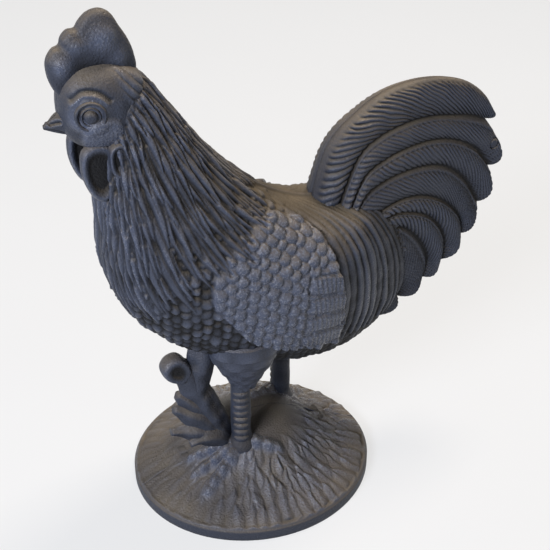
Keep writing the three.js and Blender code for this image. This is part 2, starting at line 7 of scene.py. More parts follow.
# %% Load the frame
import json
import math

import bmesh
import bpy
import numpy as np
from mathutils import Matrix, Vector

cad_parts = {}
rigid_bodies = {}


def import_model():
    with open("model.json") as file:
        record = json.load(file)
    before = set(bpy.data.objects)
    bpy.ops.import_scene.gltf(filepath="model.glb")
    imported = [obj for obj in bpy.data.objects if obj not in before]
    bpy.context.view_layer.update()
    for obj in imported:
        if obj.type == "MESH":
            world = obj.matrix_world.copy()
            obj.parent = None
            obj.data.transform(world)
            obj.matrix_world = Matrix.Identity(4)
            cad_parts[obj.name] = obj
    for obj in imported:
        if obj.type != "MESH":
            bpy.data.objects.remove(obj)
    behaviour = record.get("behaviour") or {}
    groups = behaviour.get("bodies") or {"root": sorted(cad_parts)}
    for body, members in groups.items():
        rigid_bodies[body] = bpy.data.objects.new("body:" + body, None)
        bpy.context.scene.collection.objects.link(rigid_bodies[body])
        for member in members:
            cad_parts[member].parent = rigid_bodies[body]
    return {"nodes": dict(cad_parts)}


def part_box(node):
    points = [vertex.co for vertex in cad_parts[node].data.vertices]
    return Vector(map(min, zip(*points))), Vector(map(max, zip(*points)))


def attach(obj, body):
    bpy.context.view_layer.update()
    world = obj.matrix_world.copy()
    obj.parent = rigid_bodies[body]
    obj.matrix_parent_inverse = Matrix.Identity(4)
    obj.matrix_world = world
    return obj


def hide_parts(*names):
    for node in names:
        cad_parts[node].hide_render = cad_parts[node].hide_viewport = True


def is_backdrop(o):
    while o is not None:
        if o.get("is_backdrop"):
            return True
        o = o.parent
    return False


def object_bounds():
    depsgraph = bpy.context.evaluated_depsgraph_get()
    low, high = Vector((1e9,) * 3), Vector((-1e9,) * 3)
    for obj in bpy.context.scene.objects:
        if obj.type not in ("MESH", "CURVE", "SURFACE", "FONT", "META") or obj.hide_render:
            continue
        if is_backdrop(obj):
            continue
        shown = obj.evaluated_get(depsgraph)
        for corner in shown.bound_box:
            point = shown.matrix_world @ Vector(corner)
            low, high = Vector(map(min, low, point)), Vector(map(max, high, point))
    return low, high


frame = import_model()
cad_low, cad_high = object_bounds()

print("CAD box in metres:", [round(v, 4) for v in (*cad_low, *cad_high)])

# %% [markdown]
# All drawing below is in millimetres, from the middle of the mound, as a pattern maker would mark it out.
# The frame has its origin under the middle of the whole bird instead. The two base bolts stand 38 mm
# either side of the mound's middle, so they tell where that middle lies in the frame.

# %% Place the drawing in the frame
MM = 0.001
# Half of the gap between the two castings, in millimetres
PARTING = 0.15
bolt_boxes = [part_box("base_bolt_front"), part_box("base_bolt_rear")]
mound_middle = sum((low.x + high.x) / 4 for low, high in bolt_boxes)
print(f"mound's middle at x = {mound_middle / MM:.2f} mm in the frame")

# %% [markdown]
# Curves that a sculptor would bend by eye are drawn here through a few marked points. A centripetal
# Catmull-Rom spline passes through every point without loops, so it is safe for uneven spacing.

# %% Curves and small helpers
KNOTS, KNOT_SHIFT = 97, 1000


def spline(points, shares, closed=False):
    marks = np.asarray(points, float)
    shares = np.atleast_1d(np.asarray(shares, float))
    count = len(marks)
    place = shares * (count if closed else count - 1)
    index = np.floor(place).astype(int)
    if closed:
        a, b, c, d = (marks[(index + k) % count] for k in (-1, 0, 1, 2))
    else:
        index = np.clip(index, 0, count - 2)
        longer = np.vstack([2 * marks[0] - marks[1], marks, 2 * marks[-1] - marks[-2]])
        a, b, c, d = (longer[index + k] for k in range(4))
    share = (place - index)[:, None]
    before, between, after = (
        np.maximum(np.sqrt(np.linalg.norm(q - p, axis=1, keepdims=True)), 1e-3)
        for p, q in ((a, b), (b, c), (c, d))
    )
    leave = ((b - a) / before - (c - a) / (before + between) + (c - b) / between) * between
    reach = ((c - b) / between - (d - b) / (between + after) + (d - c) / after) * between
    cubic = (2 * b - 2 * c + leave + reach) * share**3
    return b + leave * share + (3 * c - 3 * b - 2 * leave - reach) * share**2 + cubic


def smooth(value, low=0.0, high=1.0):
    share = np.clip((value - low) / (high - low), 0, 1)
    return share * share * (3 - 2 * share)


def mix(a, b, share):
    return a + (b - a) * share


def ridge(distance, width):
    return np.exp(-((distance / width) ** 2))


def circle(count):
    """Angles all the way round."""
    return np.linspace(0, 2 * np.pi, count, endpoint=False)


def loop(points, count):
    """A closed curve through marked points."""
    return spline(points, np.linspace(0, 1, count, endpoint=False), closed=True)


def field(x, y, size, seed):
    """A smooth random height between -1 and 1 over a plane, with waves of about that size."""
    knots = np.random.default_rng(seed).uniform(-1, 1, (KNOTS, KNOTS))
    p, q = np.asarray(x) / size + KNOT_SHIFT, np.asarray(y) / size + KNOT_SHIFT
    i, j = np.floor(p).astype(int), np.floor(q).astype(int)
    f, g = smooth(p - i), smooth(q - j)
    low, high = (mix(knots[k % KNOTS, j % KNOTS], knots[k % KNOTS, (j + 1) % KNOTS], g) for k in (i, i + 1))
    return mix(low, high, f)


print("helpers ready; the spline's middle of a short test:", spline([[0, 0], [1, 1], [2, 0]], 0.5).round(3))

# %% [markdown]
# Every cast surface starts as a smooth grid of points. The relief stands beside it as a height for each
# point, and the mesh's own normals say which way is outwards. On the parting plane that push stays in the
# plane, so the two halves keep their flat mating faces. The heights could go straight into the points,
# but keeping them apart lets one node tree raise the relief and add the sand's grain for all pieces
# alike.

# %% Meshes that carry a relief
NEAR_PARTING, WELD = 1.01 * PARTING * MM, 1e-7


def grid_faces(rows, columns, wrap):
    """Faces of a grid of rows by columns, wrapped along its columns or open."""
    i, j = np.meshgrid(np.arange(rows - 1), np.arange(columns if wrap else columns - 1), indexing="ij")
    after = (j + 1) % columns
    corners = [i * columns + j, i * columns + after, (i + 1) * columns + after, (i + 1) * columns + j]
    return np.stack(corners, axis=-1).reshape(-1, 4).tolist()


def make_mesh(name, points, faces, relief=None):
    """A new object from points in millimetres. Its place is in its mesh and its faces point outwards."""
    mesh = bpy.data.meshes.new(name)
    placed = np.asarray(points, float).reshape(-1, 3) * MM + np.array([mound_middle, 0, 0])
    mesh.from_pydata(placed.tolist(), [], faces)
    height = mesh.attributes.new("relief", "FLOAT", "POINT")
    if relief is not None:
        height.data.foreach_set("value", np.asarray(relief, np.float32).ravel() * MM)
    work = bmesh.new()
    work.from_mesh(mesh)
    bmesh.ops.remove_doubles(work, verts=work.verts[:], dist=WELD)
    bmesh.ops.recalc_face_normals(work, faces=work.faces[:])
    for face in work.faces:
        face.smooth = True
    work.to_mesh(mesh)
    work.free()
    count = len(mesh.vertices)
    push, place = np.empty(3 * count, np.float32), np.empty(3 * count, np.float32)
    mesh.vertex_normals.foreach_get("vector", push)
    mesh.vertices.foreach_get("co", place)
    push[1::3][np.abs(place[1::3]) < NEAR_PARTING] = 0
    outward = mesh.attributes.new("outward", "FLOAT_VECTOR", "POINT")
    outward.data.foreach_set("vector", push)
    piece = bpy.data.objects.new(name, mesh)
    bpy.context.scene.collection.objects.link(piece)
    return piece


def loft(name, rings, relief=None):
    """A closed skin through a row of closed rings, with a flat cap at each end."""
    rings = np.asarray(rings, float)
    rows, columns = rings.shape[:2]
    faces = grid_faces(rows, columns, True)
    faces += [list(range(columns)), list(range((rows - 1) * columns, rows * columns))]
    return make_mesh(name, rings, faces, relief)


def to_side(points, side):
    """The same points on a side of the bird, with none of them beyond the parting plane."""
    points = np.array(points, float)
    points[..., 1] = side * np.maximum(points[..., 1], PARTING)
    return points


def half_loft(name, rings, side, relief):
    """One half of a skin: each ring runs from the parting plane round the flank and back to it."""
    rings = to_side(rings, side)
    rows, columns = rings.shape[:2]
    faces = grid_faces(rows, columns, False)
    first = np.arange(rows) * columns
    last = first + columns - 1
    strips = np.stack([first[:-1], first[1:], last[1:], last[:-1]], axis=-1)
    faces += strips.tolist() + [list(range(columns)), list(range((rows - 1) * columns, rows * columns))]
    return make_mesh(name, rings, faces, relief)


def pad(name, outline, depth, fullness, rows, relief, centre_y=0.0, side=0, middle=None):
    """A cushion on an outline of X-Z points. With a side it is one half, flat on the parting plane."""
    outline = np.asarray(outline, float)
    middle = outline.mean(axis=0) if middle is None else np.array(middle, float)
    turn = np.linspace(0 if side else -np.pi / 2, np.pi / 2, rows)
    shrink = np.clip(np.cos(turn), 0, 1) ** (2 / fullness)
    rise = np.sign(turn) * np.abs(np.sin(turn)) ** (2 / fullness)
    points = np.zeros((rows, len(outline), 3))
    points[..., [0, 2]] = middle + (outline - middle) * shrink[:, None, None]
    points[..., 1] = (depth * rise)[:, None]
    if side:
        points = to_side(points, side)
    points[..., 1] += centre_y
    faces = grid_faces(rows, len(outline), True)
    if side:
        faces.append(list(range(len(outline))))
    x, z = points[..., 0], points[..., 2]
    return make_mesh(name, points, faces, relief(x, z, shrink[:, None] + 0 * x))


def remove(piece):
    mesh = piece.data
    bpy.data.objects.remove(piece)
    bpy.data.meshes.remove(mesh)


def join(name, pieces):
    """Several closed skins in one object."""
    main = pieces[0]
    with bpy.context.temp_override(active_object=main, object=main, selected_editable_objects=pieces):
        bpy.ops.object.join()
    main.name = name
    main.data.name = name
    return main


def settle(piece):
    """Turns a piece with live modifiers into a plain mesh."""
    bpy.context.view_layer.update()
    seen = piece.evaluated_get(bpy.context.evaluated_depsgraph_get())
    mesh = bpy.data.meshes.new_from_object(seen)
    old = piece.data
    piece.modifiers.clear()
    piece.data = mesh
    bpy.data.meshes.remove(old)
    mesh.name = piece.name
    return piece


def carve(piece, tool):
    cut = piece.modifiers.new("Cut", "BOOLEAN")
    cut.object = tool
    cut.operation = "DIFFERENCE"
    cut.solver = "MANIFOLD"
    settle(piece)
    remove(tool)
    return piece


SIDES = {"left": -1, "right": 1}
print("mesh helpers ready")

# %% [markdown]
# Sand-cast iron is never smooth. The sand leaves a grain of about a millimetre, and thick black paint
# softens it. A node tree raises each piece's relief along its outward direction and adds the grain in the
# same push. It reads two attributes that every cast mesh brings along, so one tree serves the whole bird.

# %% The cast skin tree


def add_node(tree, kind, inputs=None, **settings):
    """One node. Inputs are given by name or number, as values or as other nodes and their outputs."""
    node = tree.nodes.new(kind)
    for key, value in settings.items():
        setattr(node, key, value)
    for key, value in (inputs or {}).items():
        if isinstance(value, bpy.types.Node):
            value = value.outputs[0]
        if isinstance(value, bpy.types.NodeSocket):
            tree.links.new(value, node.inputs[key])
        else:
            node.inputs[key].default_value = value
    return node


def maths(tree, operation, first, second):
    return add_node(tree, "ShaderNodeMath", {0: first, 1: second}, operation=operation)


def new_tree(name, sockets):
    """An empty geometry tree with named inputs, and its input and output nodes."""
    tree = bpy.data.node_groups.new(name, "GeometryNodeTree")
    tree.interface.new_socket("Geometry", in_out="INPUT", socket_type="NodeSocketGeometry")
    for label, kind, default in sockets:
        socket = tree.interface.new_socket(label, in_out="INPUT", socket_type="NodeSocket" + kind)
        if default is not None:
            socket.default_value = default
    tree.interface.new_socket("Geometry", in_out="OUTPUT", socket_type="NodeSocketGeometry")
    return tree, tree.nodes.new("NodeGroupInput"), tree.nodes.new("NodeGroupOutput")


def end_tree(tree, geometry, material, output):
    """Every tree ends in real geometry with its material."""
    real = add_node(tree, "GeometryNodeRealizeInstances", {"Geometry": geometry})
    finish = add_node(tree, "GeometryNodeSetMaterial", {"Geometry": real, "Material": material})
    tree.links.new(finish.outputs[0], output.inputs[0])


def run_tree(piece, tree, **values):
    """Runs a tree on a piece and keeps the result as a plain mesh."""
    modifier = piece.modifiers.new(tree.name, "NODES")
    modifier.node_group = tree
    for item in tree.interface.items_tree:
        key = item.name.lower().replace(" ", "_")
        if item.in_out == "INPUT" and key in values:
            modifier[item.identifier] = values[key]
    return settle(piece)


cast_skin, given, result = new_tree("Cast skin", [
    ("Grain Size", "Float", 1.2), ("Grain Depth", "Float", 0.12), ("Seed", "Float", 0.0),
    ("Material", "Material", None),
])
relief_here, push_here = (
    add_node(cast_skin, "GeometryNodeInputNamedAttribute", {"Name": label}, data_type=kind)
    for label, kind in (("relief", "FLOAT"), ("outward", "FLOAT_VECTOR"))
)
place_mm = add_node(cast_skin, "ShaderNodeVectorMath", {
    0: add_node(cast_skin, "GeometryNodeInputPosition"), "Scale": 1 / MM}, operation="SCALE")
fineness = maths(cast_skin, "DIVIDE", 1.0, given.outputs["Grain Size"])
grain = add_node(cast_skin, "ShaderNodeTexNoise", {
    "Vector": place_mm, "W": given.outputs["Seed"], "Scale": fineness, "Detail": 2.0,
}, noise_dimensions="4D")
centred = maths(cast_skin, "SUBTRACT", grain, 0.5)
depth_m = maths(cast_skin, "MULTIPLY", given.outputs["Grain Depth"], 2 * MM)
grain_m = maths(cast_skin, "MULTIPLY", centred, depth_m)
height_m = maths(cast_skin, "ADD", grain_m, relief_here)
offset = add_node(cast_skin, "ShaderNodeVectorMath", {0: push_here, "Scale": height_m}, operation="SCALE")
raised = add_node(cast_skin, "GeometryNodeSetPosition", {
    "Geometry": given.outputs["Geometry"], "Offset": offset})
end_tree(cast_skin, raised, given.outputs["Material"], result)
print("cast skin tree:", len(cast_skin.nodes), "nodes")

# %% [markdown]
# The finish is old black enamel brushed over sand-cast iron. Its colour is darkest in the hollows, as
# painted shade, and towards the raised places it turns to a cool slate grey, where wear has thinned it.
# The highest of them are rubbed lighter still. The relief attribute tells high from low. Old paint shines
# less than new, so its specular level is below 0.5, and its gloss shows mostly on the raised places as
# broken highlights on the grain.
# What faces up turns a warm dust colour, which also paints the warm light from above. It follows the
# surface's own direction, never the camera.

# %% Painted cast iron
FIRST_COLOUR, SECOND_COLOUR, MIXED = 6, 7, 2
OLD_PAINT_SPECULAR = 0.32


def srgb(text):
    """A hex colour as drawn on screen, turned to linear light."""
    parts = [int(text[k:k + 2], 16) / 255 for k in (1, 3, 5)]
    return tuple(v / 12.92 if v <= 0.04045 else ((v + 0.055) / 1.055) ** 2.4 for v in parts) + (1.0,)


def new_material(name):
    """A material with its tree, its shader, and places on the piece for the textures to hang on."""
    material = bpy.data.materials.new(name)
    material.use_nodes = True
    tree = material.node_tree
    on_piece = add_node(tree, "ShaderNodeTexCoord").outputs["Object"]
    return material, tree, tree.nodes["Principled BSDF"], on_piece


def noise(tree, place, size, detail):
    """Noise with waves of a size in millimetres."""
    inputs = {"Vector": place, "Scale": 1 / (size * MM), "Detail": detail}
    return add_node(tree, "ShaderNodeTexNoise", inputs)


def map_span(tree, value, low, high, to_low=0.0, to_high=1.0):
    """Maps the span of a value from low to high onto another span."""
    return add_node(tree, "ShaderNodeMapRange", {
        "Value": value, "From Min": low, "From Max": high, "To Min": to_low, "To Max": to_high})


def blend(tree, share, first, second):
    """Mixes two colours. Hex texts are turned to linear light."""
    first, second = (srgb(colour) if isinstance(colour, str) else colour for colour in (first, second))
    inputs = {0: share, FIRST_COLOUR: first, SECOND_COLOUR: second}
    return add_node(tree, "ShaderNodeMix", inputs, data_type="RGBA").outputs[MIXED]


def link_finish(tree, shader, colour, roughness, relief, strength, depth):
    """Links a finish to its shader, with a bump of a depth in millimetres."""
    inputs = {"Height": relief, "Strength": strength, "Distance": depth * MM}
    bump = add_node(tree, "ShaderNodeBump", inputs)
    tree.links.new(colour, shader.inputs["Base Color"])
    tree.links.new(roughness.outputs[0], shader.inputs["Roughness"])
    tree.links.new(bump.outputs[0], shader.inputs["Normal"])


iron_paint, tree, shader, on_piece = new_material("black enamel on sand-cast iron")
fine = noise(tree, on_piece, 1.1, 2.5)
patches = noise(tree, on_piece, 22, 3.0)
height = add_node(tree, "ShaderNodeAttribute", attribute_name="relief").outputs["Fac"]
highest = map_span(tree, height, 0.3 * MM, 2.2 * MM)
rubbed = maths(tree, "MULTIPLY", highest, map_span(tree, fine, 0.5, 0.68))
facing = add_node(tree, "ShaderNodeNewGeometry").outputs["Normal"]
upward = add_node(tree, "ShaderNodeSeparateXYZ", {0: facing}).outputs["Z"]
flat = map_span(tree, upward, 0.1, 1.0)
# Upward faces get a warm dust colour that is also painted top light, the warm light from above.
dust_and_top_light = maths(tree, "MULTIPLY", flat, map_span(tree, patches, 0.3, 0.7, 0.35, 0.75))
# Darker in the hollows as painted shade; the cool grey on the raised places is worn paint.
raised_spot_and_hollow_shade = map_span(tree, height, -0.9 * MM, 1.3 * MM)
paint = blend(tree, raised_spot_and_hollow_shade, "#0f0f11", "#4a505f")
with_dust_and_top_light = blend(tree, dust_and_top_light, paint, "#847660")
# This colour holds the wear, and also the painted shade in the hollows and the painted warm light on top.
worn = blend(tree, rubbed, with_dust_and_top_light, "#70737c")
matt = map_span(tree, raised_spot_and_hollow_shade, 0.0, 1.0, 0.72, 0.24)
roughness = maths(tree, "ADD", matt, map_span(tree, fine, 0.35, 0.65, -0.06, 0.08))
link_finish(tree, shader, worn, roughness, fine, 1.0, 0.6)
shader.inputs["Specular IOR Level"].default_value = OLD_PAINT_SPECULAR
print(iron_paint.name, len(tree.nodes), "nodes")


def cast(piece, seed, **grain):
    """Gives a piece its relief, its own patch of sand grain and its paint."""
    return run_tree(piece, cast_skin, seed=seed, material=iron_paint, **grain)

# %% [markdown]
# The screws, bolts, washers and nuts are zinc-plated steel: a grey metal with a fine even frosting. They
# sit where the CAD put them, so they keep their CAD meshes and only get this finish. The rivet in the
# tail was painted over with the iron.

# %% Zinc-plated steel
plated_steel, tree, shader, on_piece = new_material("zinc-plated steel")
frost = noise(tree, on_piece, 0.5, 2.0)
zinc = blend(tree, noise(tree, on_piece, 4.0, 2.0), "#8b8c8e", "#a5a6a9")
link_finish(tree, shader, zinc, map_span(tree, frost, 0.3, 0.7, 0.3, 0.5), frost, 0.3, 0.05)
shader.inputs["Metallic"].default_value = 1.0

for name, node in frame["nodes"].items():
    node.data.materials.clear()
    node.data.materials.append(plated_steel if name.startswith(("body_", "base_")) else iron_paint)
print("finishes on", len(frame["nodes"]), "CAD nodes")

# %% [markdown]
# The body is a row of cross sections from the head to the rump. Each one leans, and runs from a point on
# the back line to a point on the breast line. Half of such a section, drawn as a rounded oval, gives one
# half casting. The sizes are the CAD model's own, so the visible skin lies on its solid.

# %% Body sections
# Back X, back Z, breast X, breast Z, half width
BODY = np.array([
    [-57, 268, -82, 236, 15.5], [-49, 259, -81, 223, 19], [-40, 246, -82, 208, 23],
    [-29, 230, -82, 190, 28], [-16, 213, -82, 170, 33], [-1, 198, -78, 149, 37],
    [15, 187, -67, 128, 40], [31, 180, -50, 110, 41], [47, 177, -27, 95, 41],
    [63, 175, -3, 84, 38], [76, 169, 22, 75, 31], [87, 159, 46, 71, 23],
    [95, 146, 65, 74, 16], [99, 132, 78, 79, 11], [101, 119, 88, 86, 7],
], float)
BODY_ROUNDNESS = 2.2
BODY_ROWS, BODY_COLUMNS = 400, 232


def sections(along):
    back = spline(BODY[:, :2], along)
    breast = spline(BODY[:, 2:4], along)
    half_width = spline(np.c_[BODY[:, 4], np.arange(len(BODY))], along)[:, 0]
    middle = (back + breast) / 2
    return middle, back - middle, half_width


def flank(along, around):
    """Points of the right flank. Around runs from 0 on the back to 1 under the breast."""
    middle, spine, half_width = sections(along)
    up, out = np.cos(np.pi * around), np.sin(np.pi * around)
    up, out = (np.sign(v) * np.abs(v) ** (2 / BODY_ROUNDNESS) for v in (up, out))
    points = np.zeros((len(along), len(around), 3))
    points[..., 0] = middle[:, None, 0] + spine[:, None, 0] * up
    points[..., 1] = half_width[:, None] * out
    points[..., 2] = middle[:, None, 1] + spine[:, None, 1] * up
    return points


body_along = np.linspace(0, 1, BODY_ROWS)
body_around = np.linspace(0, 1, BODY_COLUMNS)
body_skin = flank(body_along, body_around)
print("body skin from x", body_skin[..., 0].min().round(1), "to", body_skin[..., 0].max().round(1), "mm")

# %% [markdown]
# Feathers are laid on a flat sheet first, like leather before it is wrapped. Each cross section is
# unrolled to both sides of its flank line at its true length, so a feather keeps its width when it goes
# over the back. The alternative, a drawing pushed straight in from the side, would smear the feathers
# where the back turns away.

# %% The unrolled sheet
girth = np.cumsum(np.linalg.norm(np.diff(body_skin, axis=1, prepend=body_skin[:, :1]), axis=2), axis=1)
reach = girth[:, [BODY_COLUMNS // 2]] - girth
body_middle, body_rise, _ = sections(body_along)
body_lean = body_rise / np.linalg.norm(body_rise, axis=1, keepdims=True)
body_sheet = body_middle[:, None] + body_lean[:, None] * reach[..., None]


def on_sheet(along, around):
    """Where a place on the body lies on the unrolled sheet."""
    row = np.clip(np.asarray(along, float), 0, 1) * (BODY_ROWS - 1)
    column = np.clip(np.asarray(around, float), 0, 1) * (BODY_COLUMNS - 1)
    i = np.minimum(row.astype(int), BODY_ROWS - 2)
    j = np.minimum(column.astype(int), BODY_COLUMNS - 2)
    f, g = (row - i)[..., None], (column - j)[..., None]
    upper = mix(body_sheet[i, j], body_sheet[i, j + 1], g)
    lower = mix(body_sheet[i + 1, j], body_sheet[i + 1, j + 1], g)
    return mix(upper, lower, f)


class Sheet:
    """A height map on a plane, in millimetres, that feathers are pressed into one over another."""

    CELL = 0.35
    STEPS_ALONG, STEPS_ACROSS = 1.5, 1.6
    EDGE = 1.001

    def __init__(self, low, high):
        self.low = np.array(low, float)
        self.shape = tuple(int(math.ceil((end - start) / self.CELL)) + 1 for start, end in zip(low, high))
        self.height = np.zeros(self.shape)

    def cells(self, x, z):
        place = [(v - low) / self.CELL for v, low in zip((x, z), self.low)]
        return [np.clip(p, 0, n - self.EDGE) for p, n in zip(place, self.shape)]

    def soften(self, width):
        """Rounds the edges, as sand and paint do."""
        span = int(3 * width / self.CELL) + 1
        kernel = np.exp(-0.5 * (np.arange(-span, span + 1) * self.CELL / width) ** 2)
        kernel /= kernel.sum()
        for axis in (0, 1):
            self.height = np.apply_along_axis(np.convolve, axis, self.height, kernel, mode="same")

    def read(self, x, z):
        p, q = self.cells(x, z)
        i, j = p.astype(int), q.astype(int)
        f, g = p - i, q - j
        low = mix(self.height[i, j], self.height[i, j + 1], g)
        high = mix(self.height[i + 1, j], self.height[i + 1, j + 1], g)
        return mix(low, high, f)

    def feather(self, quill, widths, profile, height):
        """Presses one feather. Its profile takes its height, the shares along, 0 to 1, and across, -1 to 1,
        and its length."""
        quill = np.asarray(quill, float)
        length = np.linalg.norm(np.diff(quill, axis=0), axis=1).sum()
        along = np.linspace(0, 1, int(length / self.CELL * self.STEPS_ALONG) + 2)
        across = np.linspace(-1, 1, int(max(widths) / self.CELL * self.STEPS_ACROSS) + 3)
        middle = spline(quill, along)
        heading = np.gradient(middle, axis=0)
        heading /= np.maximum(np.linalg.norm(heading, axis=1, keepdims=True), 1e-9)
        half = spline(np.c_[widths, np.arange(len(widths))], along)[:, :1] / 2
        x = middle[:, :1] - heading[:, 1:] * half * across
        z = middle[:, 1:] + heading[:, :1] * half * across
        i, j = (np.round(p).astype(int).ravel() for p in self.cells(x, z))
        self.height[i, j] = profile(height, *np.meshgrid(along, across, indexing="ij"), length).ravel()


print("the sheet spans", np.ptp(body_sheet[..., 0]).round(), "by", np.ptp(body_sheet[..., 1]).round(), "mm")

# %% [markdown]
# Each kind of feather has its own cross profile. A hackle is a long lock with sharp valleys beside it. A
# scale is a rounded shield that rises to its tip. A wing bar is a flat band with slanting barbs. A saddle
# feather is a long ribbon with fine lines. Hackles and scales start low and end high, so their rows
# overlap like tiles. A blade of grass on the mound is made in the same way, with a sharp middle ridge.

# %% Feather profiles
BARB_SPACING, SCALE_STRAY = 2.9, 0.12
# A feather's height at its root and what it gains towards its tip, as shares
ROOT_SHARE, TIP_GAIN = 0.45, 0.55


def hackle(height, along, across, length):
    lock = np.sqrt(1 - across**2 * 0.96) - 0.12 * np.cos(3 * np.pi * across) * (1 - across**2)
    return height * (ROOT_SHARE + TIP_GAIN * smooth(along, 0, 0.8)) * lock


def scale(height, along, across, length):
    over, down = 1 - 0.92 * across**2, 1 - np.abs((along - 0.5) / 0.52) ** 3
    dome = np.sqrt(np.clip(over, 0, 1)) * np.sqrt(np.clip(down, 0, 1))
    return height * dome * (ROOT_SHARE + TIP_GAIN * smooth(along, 0, 0.75))


def wing_bar(height, along, across, length):
    band = smooth(1 - np.abs(across), 0.0, 0.22) * smooth(along, 0, 0.15) * smooth(1 - along, 0, 0.1)
    barbs = np.abs(np.sin(np.pi * (along * length / BARB_SPACING + 0.55 * across))) ** 0.7
    return height * band * (0.5 + 0.5 * barbs)


def saddle_feather(height, along, across, length):
    ribbon = np.sqrt(1 - across**2 * 0.96) * smooth(along, 0, 0.08)
    return height * ribbon * (1 - 0.14 * np.cos(4 * np.pi * across))


def grass_blade(height, along, across, length):
    return height * (0.35 + 0.65 * (1 - np.abs(across))) * (ROOT_SHARE + TIP_GAIN * along)


def inside(x, z, corners):
    """Which points lie inside a closed outline."""
    corners = np.asarray(corners, float)
    hit = np.zeros(np.shape(x), bool)
    for (ax, az), (bx, bz) in zip(corners, np.roll(corners, -1, axis=0)):
        if az == bz:
            continue
        crosses = (az > z) != (bz > z)
        hit ^= crosses & (x < (bx - ax) * (z - az) / (bz - az) + ax)
    return hit


def scale_rows(corners, heading, pitch, stagger, rng):
    """Places for scales in staggered rows inside an outline, the row nearest the tips first."""
    ahead = np.asarray(heading, float) / np.linalg.norm(heading)
    aside = np.array([-ahead[1], ahead[0]])
    rows = np.arange(-40, 41)
    i, j = np.meshgrid(rows, rows, indexing="ij")
    centre = np.mean(corners, axis=0)
    places = centre + ahead * (i * pitch)[..., None] + aside * ((j + 0.5 * (i % 2)) * stagger)[..., None]
    places = places[::-1].reshape(-1, 2)
    places = places + rng.uniform(-SCALE_STRAY, SCALE_STRAY, places.shape) * pitch
    return places[inside(places[:, 0], places[:, 1], corners)], ahead


print("hackle, scale, wing bar, saddle feather and grass blade are ready")

# %% [markdown]
# Now the coat goes on, from the layer that lies lowest to the one on top: small rough scales on breast,
# belly and thighs, then the saddle, then the wing with its scales and bars, then the hackle cape over the
# shoulders. The two sides get their own random numbers, because a carver never cuts two feathers alike.

# %% The feather coat
COAT_AREA = (-150, 30), (140, 320)
# The way the scales point, then their distance along it and across it
BREAST_ROWS, WING_ROWS = ((0.5, -0.87), 5.2, 6.0), ((0.42, -0.9), 5.9, 6.9)
# Height taken off the coat, so that it lies partly above and partly below the solid's surface
COAT_MEAN = 1.5
BREAST_AND_BELLY = [(-110, 60), (110, 50), (115, 200), (-110, 200)]
WING = [(-30, 140), (-24, 130), (-14, 119), (-2, 112), (12, 105), (27, 99), (43, 95), (44, 110), (42, 122),
        (39, 137), (36, 151), (33, 163), (30, 174), (24, 184), (10, 190), (-6, 190), (-20, 184), (-32, 172),
        (-38, 158), (-36, 147)]
WING_BARS, WING_BAR_TOP, WING_BAR_DROP, WING_BAR_WIDTHS = 4, 148, 12.4, [8.5, 11.2, 9.5]
SADDLE_FRONT = [(24, 200), (33, 180), (38, 163), (42, 146), (44, 127), (45, 108), (42, 88)]
SADDLE_REAR = [(62, 196), (70, 178), (80, 158), (88, 140), (94, 121), (96, 104), (93, 90)]
SADDLE_FEATHERS = 10
SADDLE_WIDTHS = [6.5, 6.2, 6.0, 5.8, 5.6, 5.2, 2.4]
HACKLE_FROM, HACKLE_TO, HACKLE_STEP = 0.395, 0.02, 0.062
HACKLE_WIDTH, HACKLE_SPACING = 4.7, 3.7
HACKLE_SHARES = np.array([0, 0.35, 0.7, 1.0])


